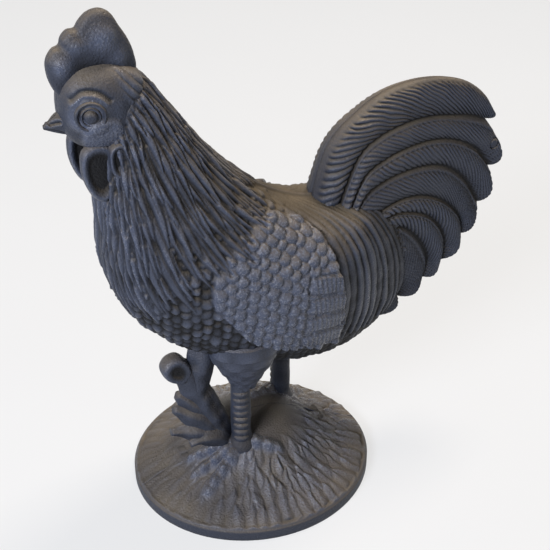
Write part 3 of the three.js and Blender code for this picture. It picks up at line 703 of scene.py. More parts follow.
def coat(seed):
    rng = np.random.default_rng(seed)
    sheet = Sheet(*COAT_AREA)
    places, ahead = scale_rows(BREAST_AND_BELLY, *BREAST_ROWS, rng)
    for place in places:
        turn = ahead + rng.normal(0, 0.25, 2)
        size = rng.uniform(0.8, 1.2)
        quill = [place - turn * 3.4 * size, place, place + turn * 3.2 * size]
        high = rng.uniform(1.3, 2.9) * mix(0.5, 1.0, smooth(place[1], 95, 135))
        sheet.feather(quill, [3.0 * size, 6.2 * size, 2.6 * size], scale, high)

    for k in range(SADDLE_FEATHERS - 1, -1, -1):
        share = k / (SADDLE_FEATHERS - 1)
        quill = mix(np.array(SADDLE_FRONT, float), np.array(SADDLE_REAR, float), share)
        quill[-1] = mix(quill[-2], quill[-1], rng.uniform(0.75, 1.1))
        quill[1:-1, 0] += rng.normal(0, 0.5, len(quill) - 2)
        sheet.feather(quill, SADDLE_WIDTHS, saddle_feather, rng.uniform(1.6, 2.4))

    lines = (low + np.arange(n) * sheet.CELL for low, n in zip(sheet.low, sheet.shape))
    grid_x, grid_z = np.meshgrid(*lines, indexing="ij")
    wing = inside(grid_x, grid_z, WING)
    plate = (1.6 + 1.6 * smooth(grid_x, -34, 10)) * (1 - 0.5 * smooth(grid_z, 150, 188))

    plumage = Sheet(*COAT_AREA)
    places, ahead = scale_rows(WING, *WING_ROWS, rng)
    for place in places:
        size = mix(0.85, 1.2, smooth(place[1], 112, 180)) * rng.uniform(0.9, 1.1)
        turn = ahead + np.array([0.35, 0.2]) * smooth(place[1], 160, 190) + rng.normal(0, 0.10, 2)
        quill = [place - turn * 4.3 * size, place + turn * 0.4, place + turn * 4.2 * size]
        plumage.feather(quill, [3.4 * size, 7.2 * size, 3.4 * size], scale, rng.uniform(2.3, 3.2))
    for k in range(WING_BARS):
        z = WING_BAR_TOP - WING_BAR_DROP * k
        quill = [(15 - 1.0 * k, z + 1.5), (28, z - 1.5), (40.5 + 0.8 * k, z - 5)]
        plumage.feather(quill, WING_BAR_WIDTHS, wing_bar, 2.4)
    sheet.height = np.where(wing, plate + plumage.height, sheet.height)

    for row, tip in enumerate(np.arange(HACKLE_FROM, HACKLE_TO, -HACKLE_STEP)):
        count = max(8, int(round(np.interp(tip, body_along, girth[:, -1]) / HACKLE_SPACING)))
        for i in range(count):
            around = (i + 0.5 * (row % 2) + rng.uniform(-0.3, 0.3)) / count
            end = tip + rng.uniform(-0.028, 0.028) - 0.03 * smooth(0.18 - around, 0, 0.18)
            start = end - rng.uniform(0.14, 0.21)
            bend = rng.normal(0, 0.012)
            bent = around + bend * np.sin(np.pi * HACKLE_SHARES)
            quill = on_sheet(mix(start, end, HACKLE_SHARES), bent)
            width = rng.uniform(0.8, 1.2) * HACKLE_WIDTH
            sheet.feather(quill, [width * 0.8, width, width * 0.85, 0.8], hackle, rng.uniform(1.8, 3.0))
    sheet.soften(0.24)
    return sheet


def body_relief(seed):
    sheet = coat(seed)
    x, z = body_sheet[..., 0], body_sheet[..., 1]
    along, around = np.meshgrid(body_along, body_around, indexing="ij")
    worn = smooth(0.22 - around, 0, 0.16) * smooth(along, 0.34, 0.44) * smooth(0.7 - along, 0, 0.1)
    relief = sheet.read(x, z) * (1 - 0.75 * worn) + 0.35 * field(x, z, 6.5, seed + 7) - COAT_MEAN
    to_parting = np.minimum(girth, girth[:, -1:] - girth)
    return relief * smooth(to_parting, 0, 2.5) * smooth(along, 0, 0.03)


bodies = {}
for name, side in SIDES.items():
    bodies[side] = half_loft(name + "_body", body_skin, side, body_relief(11 + side))
    cast(bodies[side], 3.0)
    print(name, "body:", len(bodies[side].data.polygons), "faces")

# %% [markdown]
# The tail is a fan of eight curved feathers. The grooves between them are nine curves from the root to
# the rim, and everything else is measured from those: each feather lies between two grooves and ends in
# its own tip. A feather has a raised midrib near its leading edge and a wide vane of barbs that slant
# towards its tip. The barbs are rounded ridges 2.6 mm apart, 3.1 mm on the large top feather, set with a
# little unevenness, and they fade towards the root.

# %% The tail fan
GROOVES = [
    [(36, 172), (47, 206), (63, 221), (82, 230.5), (108, 232.5), (132, 226), (147, 214), (153, 203)],
    [(46, 166), (62, 200), (74, 207), (92, 211), (108, 211), (124, 208), (137, 205), (148, 200)],
    [(50, 160), (64, 188), (78, 194), (94, 197), (110, 197), (126, 193), (141, 184), (153, 169)],
    [(52, 150), (62, 175), (76, 181), (92, 183), (108, 182), (122, 177), (136, 165), (148, 146)],
    [(54, 142), (66, 160), (80, 165), (96, 166), (112, 161), (125, 152), (134, 141), (137, 127)],
    [(56, 134), (70, 156), (82, 159), (96, 156), (110, 149), (120, 138), (125, 126), (123, 112)],
    [(58, 126), (70, 150), (82, 151), (92, 147), (102, 138), (110, 127), (114, 117), (111, 104)],
    [(58, 118), (66, 140), (74, 140), (80, 132), (85, 122), (89, 112), (93, 103), (96, 94)],
    [(56, 108), (62, 122), (67, 120), (70, 114), (73, 107), (75, 101), (77, 93), (80, 83)],
]
FEATHER_TIPS = np.array([
    (153, 200.5), (161, 176), (156, 152), (145, 131), (134, 115), (119, 103), (107, 93), (94, 85)])
TAIL_ROWS, TOP_COLUMNS, FEATHER_COLUMNS = 440, 44, 24
TAIL_ROOT_HALF, TAIL_TIP_HALF, TAIL_EDGE_HALF = 20, 4.6, 2.2
RIM_ROUNDING = 2.6
BARB_SLANT = math.radians(50)
ROOT_DIP = (3.0, 11.0)
# Midrib's share of the width and its height, then pitch and height of the barbs
TOP_FEATHER, OTHER_FEATHERS = (0.02, 0.3, 3.1, 1.9), (0.11, 0.55, 2.6, 1.4)
FEATHER_SWELL, TAIL_MEAN = 1.5, 1.3


def tail_skin():
    """The right face of the fan, each point's feather and share across it, and how far it is along,
    across and from the rim."""
    along = np.linspace(0, 1, TAIL_ROWS)
    feathers = len(FEATHER_TIPS)
    counts = [TOP_COLUMNS] + [FEATHER_COLUMNS] * (feathers - 1)
    place = np.concatenate([k + np.arange(n) / n for k, n in enumerate(counts)] + [[feathers]])
    index = np.minimum(place.astype(int), feathers - 1)
    share = (place - index)[None, :, None]
    curves = np.stack([spline(groove, along) for groove in GROOVES], axis=1)
    flat = mix(curves[:, index], curves[:, index + 1], share)
    crest = np.sin(np.pi * share)
    notches = (curves[-1, :-1] + curves[-1, 1:]) / 2
    flat = flat + (FEATHER_TIPS - notches)[index] * crest**0.8 * smooth(along, 0.6, 1)[:, None, None]
    fan = np.sin(np.pi * np.minimum(1, place / feathers * 0.9 + 0.02)) ** 0.6
    body = mix(TAIL_ROOT_HALF, TAIL_TIP_HALF, np.minimum(1, along * 1.1) ** 0.75)[:, None]
    edge = mix(TAIL_EDGE_HALF * 2.4, TAIL_EDGE_HALF, along)[:, None]
    half = np.maximum(edge, edge + (body - edge) * fan + 2.2 * (crest[..., 0] - 0.5))
    flat = flat - np.array(ROOT_DIP) * smooth(1 - along / 0.05)[:, None, None]
    from_root = np.cumsum(np.linalg.norm(np.diff(flat, axis=0, prepend=flat[:1]), axis=2), axis=0)
    from_top = np.cumsum(np.linalg.norm(np.diff(flat, axis=1, prepend=flat[:, :1]), axis=2), axis=1)
    to_rim = np.minimum(np.minimum(from_top, from_top[:, -1:] - from_top), from_root[-1:] - from_root)
    inward = 1 - np.minimum(to_rim / RIM_ROUNDING, 1)
    points = np.stack([flat[..., 0], half * np.sqrt(1 - inward**2), flat[..., 1]], axis=-1)
    first_column = np.concatenate([[0], np.cumsum(counts)])[index]
    return points, index, share[0, :, 0], from_root, from_top - from_top[:, first_column], to_rim


def tail_relief(seed):
    points, index, share, length, width, to_rim = tail_skin()
    rng = np.random.default_rng(seed)
    x, z = points[..., 0], points[..., 2]
    rib, rib_height, pitch, barb_height = (
        np.where(index == 0, top, other) for top, other in zip(TOP_FEATHER, OTHER_FEATHERS))
    convex = np.sin(np.pi * np.clip(share, 0, 1) ** 0.85) ** 0.36
    body = FEATHER_SWELL * convex * smooth(1 - share, 0.0, 0.07) * smooth(share, 0.0, 0.05)
    midrib = rib_height * ridge(share - rib, 0.03) - 0.35 * ridge(share - rib - 0.06, 0.03)
    from_rib = width * (share - rib) / np.maximum(share, 1e-6)
    wander = field(x, z, 9.0, seed) * 0.35 + field(x, z, 4.0, seed + 1) * 0.12
    slanted = length * math.sin(BARB_SLANT) - from_rib * math.cos(BARB_SLANT)
    phase = rng.uniform(0, 1, len(GROOVES))[index]
    barbs = np.abs(np.sin(np.pi * (slanted / pitch + wander + phase))) ** 0.6
    barbed = smooth(share, rib + 0.02, rib + 0.08) * smooth(0.985 - share, 0, 0.05)
    barbed = barbed * mix(0.3, 1.0, smooth(length, 6, 20))
    strength = barb_height * (0.8 + 0.35 * field(x, z, 7.0, seed + 2))
    relief = body + midrib + (barbs - 0.7) * barbed * strength - TAIL_MEAN
    return relief * smooth(to_rim, 0, 2.4)


def open_shell(name, points, side, relief):
    """Half a plate: an open grid whose whole border lies on the parting plane, closed by one flat face."""
    points = to_side(points, side)
    rows, columns = points.shape[:2]
    order = np.arange(rows * columns).reshape(rows, columns)
    border = np.concatenate([order[0, :-1], order[:-1, -1], order[-1, :0:-1], order[:0:-1, 0]])
    return make_mesh(name, points, grid_faces(rows, columns, False) + [border.tolist()], relief)


tail_points = tail_skin()[0]
tail_points[0, :, 1] = PARTING
tails = {}
for name, side in SIDES.items():
    tails[side] = open_shell(name + "_tail", tail_points, side, tail_relief(31 + side))
    cast(tails[side], 5.0)
    print(name, "tail:", len(tails[side].data.polygons), "faces")

# %% [markdown]
# The head is a ball drawn out towards a box, with a brow over the eye and a cheek above the wattle. The
# first short hackle locks begin behind the face. Comb, wattles and ear lobes are cushions on flat
# outlines, as a pattern maker would carve them from board.

# %% Head and comb
HEAD_CENTRE, HEAD_HALF, HEAD_ROUNDNESS, HEAD_HALF_WIDTH = (-77.5, 255.5), (19, 21), 2.5, 16.5
NAPE, NAPE_DISTANCE, NAPE_WIDTH, NAPE_REACH = (-57, 266), 23, 9.0, 5.0
EYE = (-85.3, 256.2)
BROW = [(-92.5, 261.5), (-87.5, 265.7), (-81.5, 264.9), (-77.0, 261.0)]
BROW_CREASE = [(-92.5, 264.0), (-87.5, 267.9), (-80.5, 267.1), (-75.0, 262.5)]
CHEEK, CHEEK_HALF = (-79, 244), (12, 11.5)
LOCKS_START, LOCK_PITCH = (-68, 258), 3.4
COMB = [(-92, 258), (-97, 265), (-99.5, 273), (-99.2, 280), (-96, 284.6), (-92.6, 286.2), (-91.3, 289.6),
        (-88.2, 292.6), (-84.4, 293.0), (-82.3, 295.8), (-78.2, 299.3), (-72.5, 300.4), (-67.8, 298.0),
        (-64.0, 291.5), (-60.2, 284.5), (-57.8, 277), (-57.4, 269), (-66, 258), (-80, 254)]
COMB_MIDDLE, COMB_HALF_THICKNESS = (-79, 276), 6
# Place, width and height of the comb's bulges
COMB_LOBES = [((-94, 277), 5.0, 2.2), ((-86, 286), 4.5, 1.2),
              ((-73, 288), 7.0, 2.2), ((-66, 277), 5.5, 1.2)]


def from_line(x, z, points):
    """Distance of places on a plane from a bent line, measured to 24 marks on it."""
    marks = spline(points, np.linspace(0, 1, 24))
    return np.min([np.hypot(x - px, z - pz) for px, pz in marks], axis=0)


def head_relief(x, z, shrink):
    from_eye = np.hypot(x - EYE[0], z - EYE[1])
    bulge = 0.9 * smooth(11.5 - from_eye, 0, 4.5)
    brow = 0.7 * ridge(from_line(x, z, BROW), 0.8)
    crease = -0.8 * ridge(from_line(x, z, BROW_CREASE), 0.9)
    from_cheek = np.hypot((x - CHEEK[0]) / CHEEK_HALF[0], (z - CHEEK[1]) / CHEEK_HALF[1])
    cheek = 1.5 * smooth(1.0 - from_cheek, 0.0, 0.35)
    behind = smooth(x - LOCKS_START[0] + 0.35 * (z - LOCKS_START[1]), 0, 5)
    locks = 0.9 * behind * np.abs(np.cos(np.pi * (0.76 * x + 0.65 * z) / LOCK_PITCH)) ** 0.7
    return (bulge + brow + crease + cheek + locks + 0.3 * field(x, z, 6.0, 5)) * smooth(1 - shrink, 0, 0.12)


def comb_relief(x, z, shrink):
    lobes = sum(high * ridge(np.hypot(x - lobe_x, z - lobe_z), width)
                for (lobe_x, lobe_z), width, high in COMB_LOBES)
    return (lobes - 0.6 + 0.3 * field(x, z, 5.0, 8)) * smooth(1 - shrink, 0, 0.25)


around = circle(360)
oval = [np.sign(f(around)) * np.abs(f(around)) ** (2 / HEAD_ROUNDNESS) for f in (np.cos, np.sin)]
oval = np.stack(oval, axis=-1)
head_outline = np.array(HEAD_CENTRE) + oval * HEAD_HALF
from_nape = np.linalg.norm(head_outline - NAPE, axis=1, keepdims=True)
to_nape = (np.array(NAPE) - HEAD_CENTRE) / NAPE_DISTANCE
head_outline = head_outline + to_nape * NAPE_REACH * ridge(from_nape, NAPE_WIDTH)
comb_outline = loop(COMB, 360)
heads, combs = {}, {}
for name, side in SIDES.items():
    head = pad(name + "_head", head_outline, HEAD_HALF_WIDTH, HEAD_ROUNDNESS, 120, head_relief, side=side)
    comb = pad(name + "_comb", comb_outline, COMB_HALF_THICKNESS, 3.4, 90, comb_relief, side=side,
               middle=COMB_MIDDLE)
    heads[side], combs[side] = cast(head, 7.0), cast(comb, 7.0)
print("head and comb:", len(heads[1].data.polygons), "and", len(combs[1].data.polygons), "faces a side")

# %% [markdown]
# An eye is a ball in two rings, turned on a lathe in the pattern and let into the head. It looks along the
# head's own surface direction there, so it never floats or tilts.

# %% Eyes
EYE_PROFILE = [(0, -7.5), (7.4, -7.5), (7.5, 0.2), (7.3, 1.1), (6.8, 1.5), (6.2, 1.3), (5.8, 0.2),
               (5.4, -0.3), (5.0, 0.3), (4.6, 1.2), (4.1, 1.3), (3.7, 0.5), (3.4, 0.6), (3.0, 1.8),
               (2.3, 2.6), (1.3, 3.0), (0, 3.0)]

THINNEST = 0.02


def head_surface(x, z):
    """Half width of the head and its outward direction at a place on its side."""
    share = np.array([(x - HEAD_CENTRE[0]) / HEAD_HALF[0], (z - HEAD_CENTRE[1]) / HEAD_HALF[1]])
    left = 1 - np.sum(np.abs(share) ** HEAD_ROUNDNESS)
    y = HEAD_HALF_WIDTH * left ** (1 / HEAD_ROUNDNESS)
    slope = np.sign(share) * np.abs(share) ** (HEAD_ROUNDNESS - 1) / HEAD_HALF
    slope_y = (y / HEAD_HALF_WIDTH) ** (HEAD_ROUNDNESS - 1) / HEAD_HALF_WIDTH
    direction = Vector((slope[0], slope_y, slope[1]))
    return y, direction.normalized()


def lathe(profile, sides, steps):
    """Rings of a turned shape about the Z axis, from a profile of radius and height."""
    curve = spline(profile, np.linspace(0, 1, steps))
    angle = circle(sides)
    radius = np.maximum(curve[:, :1], THINNEST)
    return np.stack([radius * np.cos(angle), radius * np.sin(angle), curve[:, 1:] + 0 * angle], axis=-1)


eyes = {}
for name, side in SIDES.items():
    y, direction = head_surface(*EYE)
    direction.y *= side
    turn = np.array(direction.to_track_quat("Z", "Y").to_matrix())
    rings = lathe(EYE_PROFILE, 64, 70) @ turn.T + np.array([EYE[0], side * y, EYE[1]])
    eyes[side] = cast(loft(name + "_eye", rings), 1.0, grain_depth=0.05)
print("outer eye ring stands", EYE_PROFILE[4][1], "mm proud, the ball", EYE_PROFILE[-1][1], "mm")

# %% [markdown]
# The beak is concave on top and hooks a little at its tip. A mouth line runs back from the tip, and a
# slit nostril sits in a raised loop. Both are relief on one tapering skin.

# %% Beak
BEAK_ROOT, BEAK_TIP, BEAK_ROOT_SIZE, BEAK_TIP_SIZE = (-80, 253), (-104, 247.8), (28, 26), 2.2
MOUTH = [(-104, 246.6), (-99, 246.0), (-94, 244.0)]
NOSTRIL = [(-101, 249.6), (-99, 250.2), (-97, 250.6)]


def beak(name, side):
    share = np.linspace(0, 1, 90)[:, None]
    turn = np.linspace(0, np.pi, 90)[None, :]
    taper = (1 - share) ** 1.25
    above = BEAK_TIP_SIZE + (BEAK_ROOT_SIZE[1] - BEAK_TIP_SIZE) * taper
    below = BEAK_TIP_SIZE + (BEAK_ROOT_SIZE[1] - BEAK_TIP_SIZE) * (1 - share**1.6)
    width = BEAK_TIP_SIZE + (BEAK_ROOT_SIZE[0] - BEAK_TIP_SIZE) * (1 - share) ** 1.1
    x = mix(BEAK_ROOT[0], BEAK_TIP[0], share) + 0 * turn
    high = np.where(np.cos(turn) > 0, above, below)
    z = mix(BEAK_ROOT[1], BEAK_TIP[1], share**1.3) + high / 2 * np.cos(turn)
    points = np.stack([x, width / 2 * np.sin(turn), z], axis=-1)
    mouth = -0.8 * ridge(from_line(x, z, MOUTH), 0.6)
    from_slit = from_line(x, z, NOSTRIL)
    nostril = 0.4 * ridge(from_slit - 1.4, 0.6) - 0.7 * ridge(from_slit, 0.6)
    relief = (mouth + nostril) * smooth(np.sin(turn), 0.1, 0.4)
    relief[[0, -1]] = 0
    return half_loft(name, points, side, relief)


beaks = {side: cast(beak(name + "_beak", side), 2.0, grain_depth=0.06) for name, side in SIDES.items()}

# %% [markdown]
# Wattles and ear lobes hang beside the throat. Each is a thin leaf with a raised rim round a hollow face.

# %% Wattles and ear lobes
WATTLE = [(-89.5, 237), (-91, 228), (-89.5, 219), (-85.5, 211), (-81, 208.5), (-76.5, 212), (-73.5, 221),
          (-73.5, 231), (-77, 238), (-84, 240)]
LOBE = [(-77, 238), (-78, 231), (-76.5, 224), (-73, 221.5), (-69.5, 225), (-68, 232), (-69.5, 238),
        (-73, 240)]


def leaf_relief(x, z, shrink):
    return 1.0 * ridge(shrink - 0.86, 0.1) - 1.7 * smooth(0.8 - shrink, 0, 0.3)


flaps = {}
for name, side in SIDES.items():
    parts = []
    for label, outline, depth, spread in (("wattle", WATTLE, 3.6, 10.5), ("lobe", LOBE, 3.0, 15.0)):
        edge = loop(outline, 160)
        leaf = pad(f"{name}_{label}", edge, depth, 2.6, 70, leaf_relief, centre_y=side * spread)
        parts.append(cast(leaf, 4.0))
    flaps[side] = parts
print("wattles hang from", WATTLE[-1][1], "to", WATTLE[4][1], "mm")

# %% [markdown]
# The mound is an oval dome on a short upright rim, open underneath. Its own height rule also tells the
# legs and the lugs where the ground is. The toes lie in it as low ridges, which the grass half hides, and
# the grass is thin round the foot of the plant.

# %% Mound
MOUND_HALF, MOUND_RIM, MOUND_RISE, WALL = (71.7, 67.0), 6.5, 34.5, 4.0
MOUND_MEAN_RADIUS = 70
GRASS_FROM, GRASS_TO, GRASS_STEP = 0.42, 1.06, 0.11
BLADE_SPACING, BLADE_WIDTHS = 6.6, [5.6, 7.8, 0.8]
BARE_PATCH, BARE_REACH, BARE_FADE = (-30, -12), 26, 14
MOUND_PROFILE = [(0, 1), (0.2, 0.95), (0.4, 0.74), (0.53, 0.52), (0.75, 0.26), (0.93, 0.09), (1, 0)]


def ground(x, y):
    """Height of the mound's smooth surface."""
    curve = spline(MOUND_PROFILE, np.linspace(0, 1, 200))
    reach = np.hypot(np.asarray(x) / MOUND_HALF[0], np.asarray(y) / MOUND_HALF[1])
    return MOUND_RIM + MOUND_RISE * np.interp(reach, curve[:, 0], curve[:, 1])


def mound_half(name, side):
    """Outer dome, rim, foot and inner dome in one skin, with the arch between them on the parting plane."""
    outer = spline(MOUND_PROFILE, np.linspace(0, 1, 190))
    turn = np.linspace(0, np.pi, 420)
    rows = []
    for reach, rise in outer:
        rows.append((reach * MOUND_HALF[0], reach * MOUND_HALF[1], MOUND_RIM + MOUND_RISE * rise))
    for share in (0.75, 0.5, 0.25):
        rows.append((*MOUND_HALF, MOUND_RIM * share))
    rows.append((*MOUND_HALF, 0))
    inner = [half - WALL for half in MOUND_HALF]
    rows.append((*inner, 0))
    for reach, rise in outer[::-6]:
        rows.append((reach * inner[0], reach * inner[1], MOUND_RIM + MOUND_RISE * rise - WALL))
    rows = np.array(rows)
    half_x, half_y, high = rows[:, :1], rows[:, 1:2], rows[:, 2:]
    points = np.stack([half_x * np.cos(turn), half_y * np.sin(turn), high + 0 * turn], axis=-1)
    points = to_side(points, side)
    points[0] = (0, side * PARTING, rows[0, 2])
    points[-1] = (0, side * PARTING, rows[-1, 2])
    count, columns = points.shape[:2]
    order = np.arange(count * columns).reshape(count, columns)
    arch = np.concatenate([order[:, 0], order[-2::-1, -1]])[:-1]
    relief = np.zeros((count, columns))
    skin = slice(0, len(outer))
    relief[skin] = grass(points[skin, :, 0], points[skin, :, 1], side)
    return make_mesh(name, points, grid_faces(count, columns, False) + [arch.tolist()], relief)


def grass(x, y, side):
    """Relief of short flame-shaped blades with their tips uphill, lower on the front slope."""
    rng = np.random.default_rng(51 + side)
    sheet = Sheet((-76, -72), (76, 72))
    for reach in np.arange(GRASS_FROM, GRASS_TO, GRASS_STEP):
        count = int(2 * np.pi * reach * MOUND_MEAN_RADIUS / BLADE_SPACING)
        for k in range(count):
            angle = 2 * np.pi * (k + rng.uniform(-0.3, 0.3)) / count
            out = np.array([np.cos(angle), np.sin(angle)]) * MOUND_HALF
            foot = reach + rng.uniform(-0.03, 0.03)
            tip = foot - rng.uniform(0.15, 0.24)
            aside = np.array([-np.sin(angle), np.cos(angle)]) * rng.normal(0, 1.8)
            quill = [out * foot, out * mix(foot, tip, 0.5) + aside * 0.4, out * tip + aside]
            bold = 0.5 + 0.5 * smooth(out[0], -60, 0)
            high = rng.uniform(2.4, 3.8) * bold * smooth(reach, 0.38, 0.6)
            sheet.feather(quill, BLADE_WIDTHS, grass_blade, high)
    sheet.soften(0.4)
    reach = np.hypot(x / MOUND_HALF[0], y / MOUND_HALF[1])
    border = 0.7 * ridge(reach - 0.975, 0.014)
    from_patch = np.hypot(x - BARE_PATCH[0], y * side - BARE_PATCH[1])
    bare = 1 - 0.85 * smooth(BARE_REACH - from_patch, 0, BARE_FADE)
    blades = bare * (sheet.read(x, y) - 0.5) * smooth(0.985 - reach, 0, 0.02) * smooth(reach, 0.3, 0.5)
    return blades + border * smooth(1 - reach, 0, 0.01) + foot_relief(x, y)


LEGS = {-1: (-14.5, -18), 1: (28, 17)}
TOES = {-1: [(-29, 13), (-31, 1), (-30, -14), (20, -11)], 1: [(-28, 12), (-26, -8), (20, 11)]}
TOE_HEIGHT, TOE_WIDTHS, TOE_FADE, KNUCKLE_PITCH = 5.0, (3.8, 2.2), (1.15, 0.6), 7.0
EARTH_HEIGHT, EARTH_WIDTH = 2.6, 9.0


def foot_relief(x, y):
    """Toes that lie in the ground as soft low ridges, and the earth heaped round the shanks."""
    total = np.zeros(np.shape(x))
    for leg_side, (leg_x, leg_y) in LEGS.items():
        total += EARTH_HEIGHT * ridge(np.hypot(x - leg_x, y - leg_y), EARTH_WIDTH)
        for reach_x, reach_y in TOES[leg_side]:
            length = math.hypot(reach_x, reach_y)
            along = ((x - leg_x) * reach_x + (y - leg_y) * reach_y) / length**2
            across = ((x - leg_x) * reach_y - (y - leg_y) * reach_x) / length
            bony = 1 + 0.22 * np.sin(along * length / KNUCKLE_PITCH * 2 * np.pi)
            ends = smooth(along, 0.0, 0.2) * smooth(1.12 - along, 0, 0.3)
            share = np.clip(along, 0, 1)
            toe = TOE_HEIGHT * ridge(across, mix(*TOE_WIDTHS, share)) * bony * ends * mix(*TOE_FADE, share)
            total = np.maximum(total, toe)
    return total


mounds = {side: cast(mound_half(name + "_mound", side), 9.0) for name, side in SIDES.items()}
print("mound:", len(mounds[1].data.polygons), "faces a side, top at", float(ground(0, 0)), "mm")

# %% [markdown]
# Legs: a feathered thigh, and a shank with a stack of pillow-shaped scutes on its front and outer side.
# The scutes are one pillow repeated along the shank, which is what instances are for.

# %% Legs and scutes
KNEE, SHANK_RADIUS, FOOT_FLARE, KNEE_FLARE = 82, 5.7, 2.2, 3.0
THIGH = [(76, 5.4), (80, 7.4), (85, 9.8), (90, 12.4), (96, 15.4), (103, 17.6), (112, 18)]
THIGH_SHIFT, THIGH_STRETCH = 2.5, 1.12
LUMPS_ROUND, LUMP_ROWS, LUMP_HEIGHT = 7, 7, 0.9
SCUTE_PITCH, SCUTES_FACE, SCUTE_HALF_ARC, SCUTE_RISE, SCUTE_HALF_HEIGHT = 4.6, (-0.4, 0.9), 0.95, 1.9, 2.25

stack, given, result = new_tree("Stack along a line", [
    ("Start", "Vector", None), ("Step", "Vector", None), ("Count", "Int", 8),
    ("Material", "Material", None),
])
line = add_node(stack, "GeometryNodeMeshLine", {
    "Count": given.outputs["Count"],
    "Start Location": given.outputs["Start"],
    "Offset": given.outputs["Step"],
})
repeated = add_node(stack, "GeometryNodeInstanceOnPoints", {
    "Points": line, "Instance": given.outputs["Geometry"]})
end_tree(stack, repeated, given.outputs["Material"], result)


def rows_of_lumps(turn, radius):
    """Small feather lumps round the thigh, in staggered rows that stand out at their lower edge."""
    row = np.linspace(0, LUMP_ROWS, len(radius))[:, None]
    stagger = np.pi * (row.astype(int) % 2)
    return LUMP_HEIGHT * np.abs(np.cos(LUMPS_ROUND * turn / 2 + stagger / 2)) * (1 - row % 1) ** 0.5


def leg(name, side):
    x, y = LEGS[side]
    foot = float(ground(x, y))
    turn = circle(72)
    z = np.linspace(foot - 6, KNEE + 12, 90)[:, None]
    radius = SHANK_RADIUS + FOOT_FLARE * (1 - smooth(z, foot - 2, foot + 7))
    radius = radius + KNEE_FLARE * smooth(z, KNEE - 4, KNEE + 8)
    shank = np.stack([x + radius * np.cos(turn), y + radius * np.sin(turn), z + 0 * turn], axis=-1)
    parts = [loft(name, shank, 0.3 * field(shank[..., 0] + shank[..., 1], shank[..., 2], 5.0, 3))]
    front = math.atan2(SCUTES_FACE[1] * side, SCUTES_FACE[0])
    arc = np.linspace(-SCUTE_HALF_ARC, SCUTE_HALF_ARC, 20)
    swell = np.cos(arc / SCUTE_HALF_ARC * np.pi / 2) ** 0.4
    ring = circle(16)
    out = SHANK_RADIUS - 0.7 + SCUTE_RISE * swell[:, None] * np.cos(ring)
    pillow = np.stack([x + out * np.cos(front + arc)[:, None], y + out * np.sin(front + arc)[:, None],
                       SCUTE_HALF_HEIGHT * (0.25 + 0.75 * swell)[:, None] * np.sin(ring)], axis=-1)
    count = int((KNEE - foot - 6) / SCUTE_PITCH)
    scutes = loft(name + "_scutes", pillow)
    first, step = (0, 0, (foot + 6) * MM), (0, 0, SCUTE_PITCH * MM)
    parts.append(run_tree(scutes, stack, start=first, step=step, count=count, material=iron_paint))
    profile = spline(THIGH, np.linspace(0, 1, 110))
    lumps = rows_of_lumps(turn, profile[:, 1:])
    thigh = np.stack([x + THIGH_SHIFT + profile[:, 1:] * THIGH_STRETCH * np.cos(turn),
                      y + profile[:, 1:] * np.sin(turn), profile[:, :1] + 0 * turn], axis=-1)
    parts.append(loft(name + "_thigh", thigh, lumps))
    print(name, count, "scutes from", round(foot, 1), "to", KNEE, "mm")
    return cast(join(name, parts), 6.0)


legs = {side: leg(name + "_leg", side) for name, side in SIDES.items()}

# %% [markdown]
# The plant between the legs props the breast: a thick stem, a leaf under the breast, a fan of short
# blades and one leaf with a curled rim. It belongs to the left casting only.

# %% Plant
# Each blade's middle line, its widths and its thicknesses
PLANT = [
    ([(-22, -10, 32), (-30, -10, 54), (-37, -9, 72), (-43, -8, 88), (-49, -8, 95)],
     [14, 16, 16, 14, 11], [12, 12, 11, 10, 9]),
    ([(-34, -10, 62), (-37, -9, 76), (-35, -9, 90), (-30, -8, 107)],
     [10, 14, 16, 18], [9, 11, 11, 12]),
    ([(-22, -10, 34), (-31, -11, 47), (-40, -11, 58), (-51.5, -9, 65)],
     [12, 16, 15, 4.5], [11, 11, 10, 4.5]),
    ([(-22, -10, 33), (-31, -12, 42), (-41, -12, 48), (-54, -9, 49.5)],
     [12, 15, 13, 4.5], [11, 11, 10, 4.5]),
    ([(-22, -12, 34), (-29, -15, 41), (-36, -16, 44), (-45, -15, 42)],
     [10, 12, 10, 4.0], [10, 9, 8, 4.0]),
    ([(-22, -9, 36), (-32, -9, 53), (-41, -9, 66), (-48.5, -8, 74)],
     [12, 15, 13, 5], [11, 11, 10, 5]),
]
CURL = [(-41, 89), (-43, 97), (-48, 102), (-54, 101), (-57.5, 96), (-56, 90), (-51, 85.5), (-45, 84)]
CURL_HALF_THICKNESS, CURL_Y = 6.0, -8.5


def blade(name, path, widths, thicknesses):
    shares = np.linspace(0, 1, 80)
    middle = spline(path, shares)
    heading = np.gradient(middle, axis=0)
    heading /= np.linalg.norm(heading, axis=1, keepdims=True)
    across = np.cross(heading, (0, 1, 0))
    across /= np.linalg.norm(across, axis=1, keepdims=True)
    size = spline(np.c_[widths, thicknesses], shares) / 2
    turn = circle(56)
    ribs = 1 + 0.10 * np.cos(4 * turn)
    points = middle[:, None] + across[:, None] * (size[:, :1] * np.cos(turn) * ribs)[..., None]
    points = points + np.array([0, 1, 0]) * (size[:, 1:] * np.sin(turn) * ribs)[..., None]
    return loft(name, points, 0.4 * field(points[..., 0], points[..., 2], 5.0, 21))


def curl_relief(x, z, shrink):
    return 0.8 * ridge(shrink - 0.82, 0.16) - 1.6 * smooth(0.72 - shrink, 0, 0.5)


curl_edge = loop(CURL, 140)
parts = [blade(f"left_plant_{k}", *shape) for k, shape in enumerate(PLANT)]
parts.append(pad("left_plant_curl", curl_edge, CURL_HALF_THICKNESS, 2.4, 70, curl_relief, centre_y=CURL_Y))
plant = cast(join("left_plant", parts), 8.0)
print("plant:", len(plant.data.polygons), "faces")

# %% [markdown]
# Under the mound each half has two cast lugs, and a bolt draws each pair together. The bores and pockets
# for the bolts, screws and rivet are cut last, as a drill press would, after the skin has its relief.

